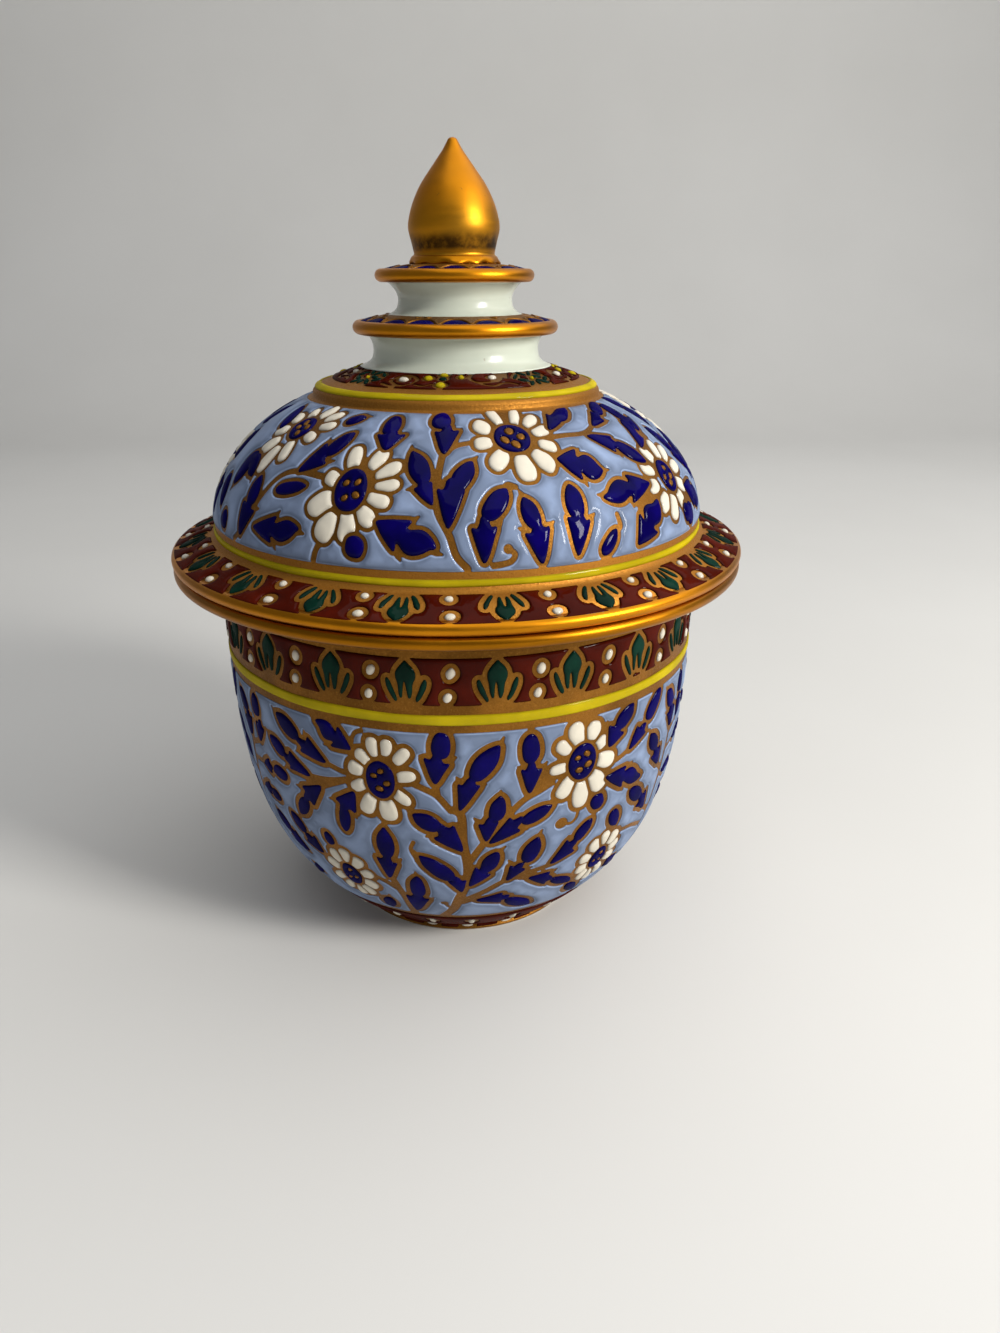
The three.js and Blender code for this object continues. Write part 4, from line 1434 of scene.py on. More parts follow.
def repeated(name, motifs, turns, material):
    """One mesh of motifs set round the axis at the turns, taking the motifs in order."""
    tree = bpy.data.node_groups.get(REPEAT_TREE) or repeat_tree()
    shelf = bpy.data.collections.new(name + "_motifs")
    for k, motif in enumerate(motifs):
        motif.name = f"motif_{k:03d}"
        bpy.context.scene.collection.objects.unlink(motif)
        shelf.objects.link(motif)
    points = bpy.data.meshes.new(name)
    points.from_pydata([(0, 0, 0)] * len(turns), [], [])
    angles = [turn * DEGREE for turn in turns]
    kinds = [k % len(motifs) for k in range(len(turns))]
    points.attributes.new("turn", "FLOAT", "POINT").data.foreach_set("value", angles)
    points.attributes.new("kind", "INT", "POINT").data.foreach_set("value", kinds)
    host = bpy.data.objects.new(name, points)
    bpy.context.scene.collection.objects.link(host)
    modifier = host.modifiers.new("Set round", "NODES")
    modifier.node_group = tree
    keys = {s.name: s.identifier for s in tree.interface.items_tree if s.in_out == "INPUT"}
    modifier[keys["Motifs"]] = shelf
    modifier[keys["Turn"]] = 0.0
    modifier[keys["Material"]] = material
    bpy.context.view_layer.update()
    graph = bpy.context.evaluated_depsgraph_get()
    mesh = bpy.data.meshes.new_from_object(host.evaluated_get(graph))
    host.modifiers.clear()
    host.data = mesh
    mesh.name = name
    for motif in motifs:
        bpy.data.objects.remove(motif)
    bpy.data.collections.remove(shelf)
    return host


PART_MARGIN = 2.0


def part_lattice(side, sketch, colour, pitch):
    """An open lattice just round the shapes of one colour of a sketch."""
    points = np.vstack(sketch.shapes[colour])
    low, high = points.min(0), points.max(0)
    span = high[0] - low[0] + 2 * PART_MARGIN
    return Lattice(side, low[1], high[1], pitch, low[0] - PART_MARGIN, span)


# Operators, one for each piece or group of like pieces


def bowl_section():
    """The section of the white bowl, which lies just inside its gold."""
    floor = FOOT_HEIGHT + JAR_FLOOR
    mouth = JAR_RADIUS - JAR_WALL
    inside = sweep((BASE_RADIUS - JAR_WALL, floor), (mouth, SHOULDER_HEIGHT), SIDE_SHARES)
    outside = moved(jar_side(), -BOWL_INSET)
    outside = outside[(outside[:, 0] < LIP_RADIUS - 2.2) & (outside[:, 1] > 3.6)]
    below, beyond = (mouth, SEAT_HEIGHT - MOUTH_ROUNDING), (mouth + MOUTH_ROUNDING, SEAT_HEIGHT)
    return chain(
        (0, FOOT_HEIGHT),
        (BASE_RADIUS - 2.2, FOOT_HEIGHT),
        (BASE_RADIUS - 1.2, FOOT_HEIGHT + 0.6),
        outside,
        (LIP_RADIUS - 2.4, SEAT_HEIGHT - LIP_THICKNESS + 0.5),
        (LIP_RADIUS - 2.4, SEAT_HEIGHT - 0.02),
        (LIP_RADIUS - 2.8, SEAT_HEIGHT),
        bend(beyond, (mouth, SEAT_HEIGHT), below),
        (mouth, SHOULDER_HEIGHT),
        inside[::-1],
        (0, floor),
    )


class LIDDED_JAR_OT_clay(bpy.types.Operator):
    """Turns the white glazed clay of the jar and the lid, and the unglazed foot ring"""

    bl_idname = "lidded_jar.clay"
    bl_label = "Glazed Clay"

    def execute(self, context):
        inner, side = FOOT_RADIUS - FOOT_WIDTH, FOOT_RADIUS - 0.1
        foot = chain(
            (inner + FOOT_ROUNDING, 0),
            bend((FOOT_RADIUS - FOOT_ROUNDING, 0), (side, 0), (side, FOOT_ROUNDING - 0.2)),
            (FOOT_RADIUS - 0.6, FOOT_ROUNDING),
            (FOOT_RADIUS - 0.6, FOOT_HEIGHT + 0.05),
            (inner, FOOT_HEIGHT + 0.05),
            bend((inner, FOOT_ROUNDING), (inner, 0), (inner + FOOT_ROUNDING, 0)),
        )
        piece(turned("foot_ring", foot), "jar", "biscuit", "jar_foot_ring")
        piece(turned("jar_porcelain", bowl_section()), "jar", "white_glaze")
        self.lid()
        return {"FINISHED"}

    def lid(self):
        outer = JAR_RADIUS - JAR_WALL - RING_CLEARANCE
        inner = outer - RING_WALL
        bottom = SEAT_HEIGHT - RING_DEPTH
        ring = chain(
            (inner, bottom),
            bend((outer - RING_LEAD, bottom), (outer, bottom), (outer, bottom + RING_LEAD)),
            (outer, SEAT_HEIGHT + 0.3),
            (inner, SEAT_HEIGHT + 0.3),
        )
        piece(turned("lid_ring", ring), "lid", "white_glaze", "lid_locating_ring")
        inside = sweep((inner, SEAT_HEIGHT), (CROWN_RADIUS - DOME_WALL, DOME_TOP - DOME_WALL), DOME_SHARES)
        ceiling = LOWER_BASE - CROWN_WALL
        outer_skin = moved(dome_side(), -LINING_INSET)
        lining = chain(
            (inner, SEAT_HEIGHT),
            (BRIM_RADIUS - 2.9, SEAT_HEIGHT),
            (BRIM_RADIUS - 2.5, SEAT_HEIGHT + 0.05),
            (BRIM_RADIUS - 2.5, SEAT_HEIGHT + BRIM_THICKNESS - 0.5),
            (BRIM_SHOULDER_RADIUS, SEAT_HEIGHT + BRIM_SHOULDER_RISE - 0.9),
            outer_skin[outer_skin[:, 1] > SEAT_HEIGHT + BRIM_SHOULDER_RISE],
            (CROWN_RADIUS - 0.8, CROWN_EDGE - 0.5),
            (CROWN_RADIUS - 2.0, CROWN_EDGE),
            (LOWER_TIER["foot"] + 0.4, LOWER_BASE - 0.8),
            (VENT_RADIUS, LOWER_BASE - 0.8),
            (VENT_RADIUS, ceiling),
            (CEILING_RADIUS, ceiling),
            inside[::-1],
        )
        piece(turned("lid_lining", lining), "lid", "white_glaze")


class LIDDED_JAR_OT_gilding(bpy.types.Operator):
    """Lays the gold that shows as lines between the enamels, and the rolled gold rims"""

    bl_idname = "lidded_jar.gilding"
    bl_label = "Gilding"

    def execute(self, context):
        side = jar_side()
        wall = side[side[:, 0] < JAR_RADIUS + LIP_FILLET + 1.5]
        wall = chain(wall[wall[:, 1] < LIP_BOTTOM - 0.3], (JAR_RADIUS + 2.2, LIP_BOTTOM - 0.02))
        skin = chain(
            (BASE_RADIUS - 1.6, FOOT_HEIGHT),
            moved(wall, -GILT_DEPTH),
            moved(wall, -JAR_SKIN)[::-1],
            (BASE_RADIUS - 1.6, FOOT_HEIGHT + 1.0),
        )
        skin = turned("jar_line_gold", skin, GOLD_SIDES)
        piece(skin, "jar", "gilding", "jar_bowl", paint="line_gold")
        ring = chain(
            (FOOT_RADIUS - 0.8, 0.38),
            (FOOT_RADIUS, 0.38),
            (FOOT_RADIUS, 0.62),
            (FOOT_RADIUS - GILT_DEPTH, 0.7),
            (FOOT_RADIUS - GILT_DEPTH, FOOT_HEIGHT + 0.1),
            (FOOT_RADIUS - 0.8, FOOT_HEIGHT + 0.1),
        )
        piece(turned("foot_ring_gold", ring), "jar", "gilding", paint="line_gold")
        lip = chain(
            (JAR_RADIUS + 1.3, LIP_BOTTOM + 0.02),
            half_round(LIP_RADIUS, SEAT_HEIGHT - LIP_THICKNESS, LIP_THICKNESS - 0.06, 20),
            (LIP_RADIUS - 3.2, SEAT_HEIGHT - 0.06),
            (LIP_RADIUS - 3.2, SEAT_HEIGHT - 0.9),
            (JAR_RADIUS + 1.3, LIP_BOTTOM + 0.9),
        )
        # The lip takes the darker copy of the rim gold, a painted shade under the lid's brim
        piece(turned("jar_gold_lip", lip, GOLD_SIDES), "jar", "gilding", paint="lip_gold")
        dome = chain(
            (BRIM_RADIUS - 1.4, SEAT_HEIGHT + BRIM_THICKNESS + 0.02),
            moved(chain(BRIM_SHOULDER, dome_side()[1:]), -GILT_DEPTH),
            moved(crown_side(), -GILT_DEPTH),
        )
        shell = turned("lid_line_gold", chain(dome, moved(dome, -LID_SKIN)[::-1]), GOLD_SIDES)
        piece(shell, "lid", "gilding", "lid_dome", paint="lid_gold")
        brim = chain(
            (BRIM_RADIUS - 3.2, SEAT_HEIGHT + 0.02),
            half_round(BRIM_RADIUS, SEAT_HEIGHT + 0.02, BRIM_THICKNESS - 0.02, 20),
            (BRIM_RADIUS - 1.6, SEAT_HEIGHT + BRIM_THICKNESS + 0.06),
            (BRIM_RADIUS - 2.0, SEAT_HEIGHT + BRIM_THICKNESS - 0.6),
            (BRIM_RADIUS - 3.2, SEAT_HEIGHT + 0.6),
        )
        piece(turned("lid_gold_brim", brim, GOLD_SIDES), "lid", "gilding")
        return {"FINISHED"}


def paint_ground(whole, prefix, body, sketch, line, rise, edges, turns=(0.0,)):
    """The ground enamel of a vine: all of its band but near a shape or a gold stroke."""
    islands = whole.blank()
    for colour, grow in GROW.items():
        whole.draw(islands, sketch.shapes[colour], turns, grow)
    strokes = whole.brush(whole.blank(), sketch.strokes, turns)
    field = np.minimum(np.minimum(-islands - line, -strokes), whole.band(*edges))
    field = whole.without_specks(field, LEAST_GROUND)
    ground = whole.enamel(prefix + "_periwinkle_ground", field, rise * GROUND_RISE, *GROUND_FORM)
    whole.smooth(ground, field, rise * GROUND_RISE, *GROUND_FORM[:2])
    piece(ground, body, "periwinkle_enamel")


def vine_field(lattice, sketch, colour):
    """Where a colour of the vine lies: its shapes, less the gold left open in and between them."""
    if colour == "cobalt":
        field = lattice.draw(lattice.blank(), sketch.shapes[colour], (0.0,), GROW[colour])
        return np.minimum(field, -lattice.draw(lattice.blank(), sketch.shapes["gold_dots"]))
    first, second = lattice.draw_apart(sketch.shapes[colour])
    field = np.minimum(first + GROW[colour], (first - second - PETAL_GAP) / 2)
    hearts = lattice.draw(lattice.blank(), sketch.shapes["cobalt"], (0.0,), GROW["cobalt"])
    return np.minimum(field, -hearts - PETAL_GAP)


def wavering(level, amount, waves, seed):
    """A length round the side that strays a little, as a line drawn on a turning wheel does."""
    rng = np.random.default_rng(seed)
    parts = [(n, rng.uniform(0, 360), rng.normal() * amount / 2) for n in waves]

    def at(a):
        return level + sum(size * np.sin((n * a + phase) * DEGREE) for n, phase, size in parts)

    return at


# Where panels, lines and borders begin and end, in millimetres up their side
JAR_PANEL = (9.5, 50.0)
JAR_YELLOW = (51.15, 52.8)
JAR_BORDER = (54.15, 61.25)
JAR_UNDER_BORDER = (0.6, 7.6)
RING_BAND = (0.42, 1.68)
DOME_PANEL = (3.4, 28.75)
# The dots between two palmettes of the shoulder: degrees past halfway, place, width, height and lean
SHOULDER_DOTS = ((0.4, 59.0, 1.3, 1.75, -18), (-0.3, 55.4, 1.25, 1.6, -18))
# Radii at which the motifs of the brim and under the belly are drawn
BRIM_MIDDLE_RADIUS, UNDERSIDE_RADIUS = 44.0, 28.0


class LIDDED_JAR_OT_jar_vine(bpy.types.Operator):
    """Paints the jar's vine: periwinkle ground, cobalt leaves and hearts, cream petals"""

    bl_idname = "lidded_jar.jar_vine"
    bl_label = "Jar Vine"

    def execute(self, context):
        sizes = context.scene.jar_sizes
        pitch, line, rise = sizes.pitch / MM, sizes.line_width / MM, sizes.rise / MM
        sketch = jar_sketch(sizes)
        thirds = (0.0, 120.0, 240.0)
        whole = Lattice(JAR, *JAR_PANEL, pitch, multiple=3)
        edges = (
            wavering(JAR_PANEL[0], 0.15, (2, 5, 9), 3),
            wavering(JAR_PANEL[1], 0.12, (3, 7, 16), 4),
        )
        paint_ground(whole, "jar", "jar", sketch, line, rise, edges, thirds)
        for colour, swell in VINE_SWELL.items():
            cell = part_lattice(JAR, sketch, colour, pitch)
            motif = cell.enamel(colour, vine_field(cell, sketch, colour), rise, swell)
            slot = colour + "_enamel"
            piece(repeated(f"jar_{colour}_vine", [motif], thirds, finish_for(slot)), "jar", slot)
        cell = part_lattice(JAR, sketch, "gold_dots", pitch * FINE)
        field = cell.draw(cell.blank(), sketch.shapes["gold_dots"])
        motif = cell.enamel("dots", field, rise * DOT_RISE, *DOT_FORM)
        dots = repeated("jar_gold_dots", [motif], thirds, finish_for("line_gold"))
        piece(dots, "jar", "gilding", paint="line_gold")
        return {"FINISHED"}


class LIDDED_JAR_OT_dome_vine(bpy.types.Operator):
    """Paints the same vine on the lid's dome"""

    bl_idname = "lidded_jar.dome_vine"
    bl_label = "Dome Vine"

    def execute(self, context):
        sizes = context.scene.jar_sizes
        pitch, line, rise = sizes.pitch / MM, sizes.dome_line_width / MM, sizes.rise / MM
        sketch = dome_sketch(sizes)
        whole = Lattice(DOME, *DOME_PANEL, pitch)
        edges = (
            wavering(DOME_PANEL[0], 0.12, (2, 5, 11), 5),
            wavering(DOME_PANEL[1], 0.12, (3, 8), 6),
        )
        paint_ground(whole, "dome", "lid", sketch, line, rise, edges)
        for colour, swell in VINE_SWELL.items():
            field = vine_field(whole, sketch, colour)
            field = np.minimum(field, whole.band(DOME_PANEL[0] - 0.3, DOME_PANEL[1] + 0.5))
            vine = whole.enamel(f"dome_{colour}_vine", field, rise, swell)
            piece(vine, "lid", colour + "_enamel")
        field = whole.draw(whole.blank(), sketch.shapes["gold_dots"])
        dots = whole.enamel("dome_gold_dots", field, rise * DOT_RISE, *DOT_FORM)
        piece(dots, "lid", "gilding", paint="line_gold")
        return {"FINISHED"}


def border_turns(count, first, seed):
    """Angles of the repeats of a border, spaced by eye."""
    rng = np.random.default_rng(seed)
    return [first + 360 * (k + rng.uniform(-0.06, 0.06)) / count for k in range(count)]


def variants(radius, sizes, seed, count=3, calm=1.0):
    """Blank sketches of one motif, each with its own wobble."""
    return [Sketch(radius, sizes.wobble / MM * calm, sizes.seed + seed + k) for k in range(count)]


def border(prefix, side, body, sketches, turns, edges, sizes, span, line=None, ground="maroon_enamel"):
    """A border: its ground, and its motifs set round the axis."""
    pitch, rise = sizes.pitch / MM, sizes.rise / MM
    line = line or sizes.border_line_width / MM
    whole = Lattice(side, *span, pitch)
    field = whole.band(*edges)
    for k, turn in enumerate(turns):
        sketch = sketches[k % len(sketches)]
        islands = whole.blank()
        for colour, shapes in sketch.shapes.items():
            whole.draw(islands, shapes, (turn,), BORDER_GROW[colour])
        whole.brush(islands, [(path, width - line) for path, width in sketch.strokes], (turn,))
        field = np.minimum(field, -islands - line)
    field = whole.without_specks(field, LEAST_BORDER)
    if (field > 0).any():
        relief = whole.enamel(prefix + "_ground", field, rise * FLAT_RISE, *BORDER_FORM)
        piece(relief, body, "gilding" if ground == "line_gold" else ground, paint=ground)
    for colour in sketches[0].shapes:
        high, shoulder = (PLUMP_RISE, 0.6) if colour in ("cream", "yellow") else (FLAT_RISE, 0.4)
        motifs = []
        for sketch in sketches:
            cell = part_lattice(side, sketch, colour, pitch * FINE)
            depth = cell.draw(cell.blank(), sketch.shapes[colour], (0.0,), BORDER_GROW[colour])
            motifs.append(cell.enamel(colour, depth, rise * high, 0.05, shoulder, 0.6))
        slot = colour + "_enamel"
        piece(repeated(f"{prefix}_{colour}", motifs, turns, finish_for(slot)), body, slot)


class LIDDED_JAR_OT_shoulder_border(bpy.types.Operator):
    """Paints the maroon border of palmettes and dots on the jar's shoulder"""

    bl_idname = "lidded_jar.shoulder_border"
    bl_label = "Shoulder Border"

    def execute(self, context):
        sizes = context.scene.jar_sizes
        count = sizes.border_repeats
        half = 180 / count
        sketches = variants(JAR_RADIUS, sizes, 20)
        for sketch in sketches:
            palmette(sketch, JAR_BORDER[0] + 0.1, 6.3, 0.95)
            for shift, *dot in SHOULDER_DOTS:
                sketch.blob("cream", half + shift, *dot)
        edges = wavering(JAR_BORDER[0], 0.08, (2, 5, 9), 7), wavering(JAR_BORDER[1], 0.08, (3, 7), 8)
        turns = border_turns(count, 6.4, 9)
        span = (JAR_BORDER[0] - 0.3, JAR_BORDER[1] + 0.3)
        border("shoulder", JAR, "jar", sketches, turns, edges, sizes, span)
        return {"FINISHED"}


class LIDDED_JAR_OT_brim_border(bpy.types.Operator):
    """Paints the maroon border of palmettes and dots on the lid's brim"""

    bl_idname = "lidded_jar.brim_border"
    bl_label = "Brim Border"

    def execute(self, context):
        sizes = context.scene.jar_sizes
        count = sizes.border_repeats
        half = 180 / count
        outer, inner = math.pi * BRIM_THICKNESS / 2 - 0.1, BRIM.s[-1] - 0.25
        sketches = variants(BRIM_MIDDLE_RADIUS, sizes, 30)
        for sketch in sketches:
            palmette(sketch, inner - 0.1, -(inner - outer - 0.6), -0.9)
            sketch.blob("cream", half + 0.2, outer + 1.2, 1.5, 1.3, 10)
            sketch.blob("cream", half - 0.1, inner - 1.1, 1.3, 1.15, 10)
        edges = wavering(outer - 0.5, 0.08, (2, 5, 9), 17), wavering(inner, 0.08, (3, 7), 18)
        turns = border_turns(count, 7.6, 19)
        border("brim", BRIM, "lid", sketches, turns, edges, sizes, (outer - 0.7, inner + 0.1))
        return {"FINISHED"}


class LIDDED_JAR_OT_foot_border(bpy.types.Operator):
    """Paints the maroon border with slim dots under the jar's belly"""

    bl_idname = "lidded_jar.foot_border"
    bl_label = "Foot Border"

    def execute(self, context):
        sizes = context.scene.jar_sizes
        under, ring = variants(UNDERSIDE_RADIUS, sizes, 40), variants(FOOT_RADIUS, sizes, 44, calm=0.5)
        for sketch in under:
            sketch.blob("cream", 0, 4.1, 1.3, 3.0)
        for sketch in ring:
            sketch.blob("cream", 0, 0.95, 2.0, 0.75)
        low, high = JAR_UNDER_BORDER
        edges = wavering(low, 0.05, (2, 5), 27), wavering(high, 0.08, (3, 7), 28)
        border("underside", JAR, "jar", under, border_turns(24, 3.0, 29), edges, sizes, JAR_UNDER_BORDER)
        border("foot_ring", FOOT, "jar", ring, border_turns(20, 1.4, 30), RING_BAND, sizes, RING_BAND)
        return {"FINISHED"}


# One quarter of the crown, in degrees and millimetres up the crown
CROWN_YELLOW_DOTS = (
    (-14.4, 8.0, 1.9, 1.25), (-6.8, 9.1, 2.0, 0.9), (2.3, 8.4, 1.4, 1.0),
    (-7.3, 5.8, 1.9, 1.5), (40.3, 7.2, 1.0, 0.8),
)  # fmt: skip
CROWN_GREEN_LEAVES = (
    (-6.8, 7.9, 1.5, 1.0, 0), (32.0, 8.1, 2.4, 0.7, 35), (34.0, 6.7, 2.4, 0.8, -20),
    (36.5, 5.6, 2.0, 0.7, 40), (37.5, 8.8, 2.2, 0.7, -35), (43.2, 8.8, 2.2, 0.7, 35),
    (44.6, 7.5, 2.4, 0.8, -10), (44.0, 5.9, 2.4, 0.8, -40), (48.4, 6.7, 2.0, 0.8, 25),
    (48.6, 8.4, 1.8, 0.7, -30), (40.4, 5.7, 1.4, 0.7, 80),
)  # fmt: skip
CROWN_WHITE_DOTS = ((18.5, 8.1, 1.9, 1.1), (-26.7, 7.3, 2.1, 1.25))
CROWN_SCROLLS = (
    (
        (
            (-33.5, 6.8), (-31.0, 8.2), (-26.5, 8.8), (-22.0, 8.3),
            (-19.5, 7.2), (-22.5, 5.7), (-27, 5.4), (-33.5, 6.8),
        ),
        0.55,
    ),
    (
        (
            (6.0, 8.1), (8.5, 9.5), (14, 10.1), (20, 9.8), (23.5, 8.4),
            (20, 7.0), (13, 6.6), (8.5, 6.9), (6.0, 8.1),
        ),
        0.55,
    ),
    (((9.0, 6.7), (13, 5.7), (17, 5.4), (21, 6.1), (25, 6.1), (28, 5.5)), 0.5),
    (((-36, 5.7), (-32, 5.2), (-28, 4.9)), 0.5),
    (((-19.0, 5.7), (-15, 5.4), (-11.5, 6.1)), 0.45),
    (((25.5, 7.7), (27.5, 8.9), (29, 9.9)), 0.5),
)  # fmt: skip
CROWN_TURNS = (0.0, 91.0, 180.5, 269.5)
CROWN_LINE = 0.36


class LIDDED_JAR_OT_crown_border(bpy.types.Operator):
    """Paints the crown: florets of yellow dots, white dots in scrolls, and leaf sprigs on maroon"""

    bl_idname = "lidded_jar.crown_border"
    bl_label = "Crown Border"

    def execute(self, context):
        sizes = context.scene.jar_sizes
        band = (4.5, CROWN.s[-1] - 1.2)
        sketches = variants(CROWN_RADIUS, sizes, 50, 2, 0.8)
        for sketch in sketches:
            for mark in CROWN_YELLOW_DOTS:
                sketch.blob("yellow", *mark)
            for mark in CROWN_GREEN_LEAVES:
                sketch.blob("green", *mark)
            for mark in CROWN_WHITE_DOTS:
                sketch.blob("cream", *mark)
            for places, width in CROWN_SCROLLS:
                sketch.stroke(places, width)
        border("crown", CROWN, "lid", sketches, CROWN_TURNS, band, sizes, band, CROWN_LINE)
        return {"FINISHED"}


class LIDDED_JAR_OT_yellow_lines(bpy.types.Operator):
    """Draws the yellow enamel lines along the borders of the jar, the lid and the crown"""

    bl_idname = "lidded_jar.yellow_lines"
    bl_label = "Yellow Lines"

    def execute(self, context):
        sizes = context.scene.jar_sizes
        pitch, rise = sizes.pitch / MM, sizes.rise / MM
        lines = (
            ("shoulder_yellow_line", JAR, "jar", *JAR_YELLOW),
            ("dome_yellow_line", DOME, "lid", 1.5, 2.5),
            ("crown_yellow_line", CROWN, "lid", 1.4, 2.8),
        )
        for k, (name, side, body, low, high) in enumerate(lines):
            whole = Lattice(side, low - 0.2, high + 0.2, pitch)
            low, high = wavering(low, 0.07, (2, 5, 12), 60 + k), wavering(high, 0.07, (3, 8, 14), 70 + k)
            line = whole.enamel(name, whole.band(low, high), rise * LINE_RISE, *LINE_FORM)
            piece(line, body, "yellow_enamel")
        return {"FINISHED"}


# A scallop in shares of its width and height, and the gold waves inside the ring of scallops
SCALLOP = (
    (0.5, 0), (0.49, 0.35), (0.36, 0.75), (0.15, 0.98),
    (-0.15, 0.98), (-0.36, 0.75), (-0.49, 0.35), (-0.5, 0),
)  # fmt: skip
DISC_WAVES = ((-1, 0.1), (-0.5, 0.75), (0, 0.25), (0.5, 0.8), (1, 0.1))


class LIDDED_JAR_OT_finial(bpy.types.Operator):
    """Turns the finial: white waisted necks, gold discs with blue scallops, and the gold bud"""

    bl_idname = "lidded_jar.finial"
    bl_label = "Finial"

    def execute(self, context):
        sizes = context.scene.jar_sizes
        tiers = (
            ("lower", LOWER_TIER, LOWER_BASE, LOWER_DISC, 18, "finial_lower_tier"),
            ("upper", UPPER_TIER, LOWER_TOP, UPPER_DISC, 14, "finial_upper_tier"),
        )
        for name, tier, base, side, count, node in tiers:
            self.tier(name, tier, base, node)
            self.scallops(name, tier, side, count, sizes)
        outline = chain((0, UPPER_TOP), (BUD_WAIST_RADIUS, UPPER_TOP), bud_side())
        piece(turned("gold_bud", outline, BUD_SIDES), "lid", "gilding", "finial_lotus_bud", paint="bud_gold")
        self.spilt_gold(sizes)
        return {"FINISHED"}

    def spilt_gold(self, sizes):
        """Bright gold that ran out ragged round the bud's foot."""
        top = BUD_SKIRT.s[-1]
        whole = Lattice(BUD_SKIRT, 0.0, top, sizes.pitch / MM * FINER)
        field = whole.band(wavering(0.4, 0.24, (3, 5, 8, 13, 21), 90), top - 0.05)
        piece(whole.enamel("bud_gold_spill", field, 0.36, 0.03, 0.4, 0.6), "lid", "gilding")

    def tier(self, name, tier, base, node):
        """A white neck, the gold rim of its disc and the gold cover over the disc."""
        neck_top = base + tier["rise"]
        rim_top = neck_top + 2 * tier["edge"]
        flare = tier_neck(tier, base)
        flare = flare[flare[:, 1] > base + 1.3]
        corner = (flare[0, 0] + 0.05, base + 0.15)
        inner = tier["disc"] - tier["edge"]
        neck = chain(
            (VENT_RADIUS, base - 0.6),
            (tier["foot"] + 0.9, base - 0.6),
            bend((tier["foot"] + 1.35, base - 0.4), corner, flare[0], 8),
            flare,
            (inner - 0.4, neck_top + 0.02),
            (inner - 0.4, neck_top + 0.4),
            (VENT_RADIUS, neck_top + 0.4),
        )
        piece(turned(f"finial_{name}_neck", neck), "lid", "white_glaze", node)
        rim_end = inner - 0.1
        rim = chain(
            (VENT_RADIUS, neck_top + 0.3),
            (inner - 0.3, neck_top + 0.3),
            half_round(tier["disc"], neck_top, 2 * tier["edge"] + 0.3, 20),
            (rim_end - 0.5, rim_top + 0.1),
            (rim_end - 0.5, rim_top - 0.2),
            (VENT_RADIUS, rim_top - 0.2),
        )
        piece(turned(f"finial_{name}_rim", rim), "lid", "gilding")
        side = tier_disc(tier, base)
        slope = moved(side, -GILT_DEPTH)
        cover = chain(
            (VENT_RADIUS, neck_top + tier["edge"] + 0.2),
            (rim_end - 0.2, neck_top + tier["edge"] + 0.2),
            slope[(side[:, 0] < rim_end - 0.1) & (side[:, 1] > neck_top + 1.5 * tier["edge"])],
            (VENT_RADIUS, rim_top + tier["slope"] - GILT_DEPTH),
        )
        piece(turned(f"finial_{name}_cover", cover), "lid", "gilding", paint="line_gold")

    def scallops(self, name, tier, side, count, sizes):
        """Blue scallops round a disc, each under a gold arc, and gold waves inside them."""
        foot = math.pi * tier["edge"]
        radius = tier["disc"] - tier["edge"] - 0.6
        inner = side.s[-1] - (1.6 if name == "upper" else 1.2)
        width = 2 * math.pi * radius / count * 0.84
        half, crest = 180 / count, foot + 2.8
        waves = [(x * half, crest + y * (inner - crest)) for x, y in DISC_WAVES]
        sketches, arcs = variants(radius, sizes, 80, calm=0.7), []
        for sketch in sketches:
            size = np.array((width * sketch.rng.uniform(0.92, 1.06), sketch.rng.uniform(2.1, 2.4)))
            outline = np.array(SCALLOP) * size + (0, foot + 0.2)
            sketch.add("cobalt", sketch.strayed(rounded(outline)))
            arc = np.array(SCALLOP[1:-1]) * (size + (0.7, 0.5)) + (0, foot + 0.1)
            path = spline(arc / (sketch.mm, 1), 4)
            arcs.append((path, np.full(len(path), 0.2)))
            sketch.stroke(waves, 0.55)
        turns = border_turns(count, 0.0, 81)
        span, edges = (foot + 0.1, inner), (foot + 2.9, inner)
        border(f"finial_{name}", side, "lid", sketches, turns, edges, sizes, span, 0.3, "line_gold")
        whole = Lattice(side, *span, sizes.pitch / MM * FINER)
        field = whole.blank()
        for k, turn in enumerate(turns):
            whole.brush(field, [arcs[k % len(arcs)]], (turn,))
        relief = whole.enamel(f"finial_{name}_arcs", field, 0.3, 0.02, 0.2, 0.6)
        piece(relief, "lid", "gilding", paint="line_gold")


# The stage, in metres, watts and degrees

FLOOR_FRONT, FLOOR_BACK, FLOOR_SIDE = -0.9, 0.5, 1.6
BACKDROP_HEIGHT, BACKDROP_BEND = 1.1, 0.25
PALE = ((0.60, 0.59, 0.56), (0.64, 0.63, 0.60))
SKY_COLOUR, SKY_STRENGTH = (0.86, 0.9, 1.0, 1), 0.22
# Name, place, target, width, height, power, colour, and whether glossy surfaces mirror the lamp
LAMPS = (
    ("window", (0.45, -0.3, 0.3), (0, 0, 0.07), 0.13, 0.2, 4.0, (1.0, 0.98, 0.95), True),
    ("room", (-0.55, -0.5, 0.3), (0, 0, 0.06), 0.7, 0.6, 0.45, (0.95, 0.97, 1.0), False),
    ("ceiling", (0.28, 0.0, 0.72), (0, 0, 0.05), 1.2, 1.2, 5.2, (1.0, 1.0, 1.0), True),
)
# The camera as fitted to the photograph: focus and picture height in pixels, place, dip and turn
FOCUS, PHOTO_HEIGHT, SENSOR_WIDTH = 938, 1333, 36
CAMERA_PLACE, CAMERA_DIP, CAMERA_TURN = (0, -0.1558, 0.1068), 22.81, -2.55


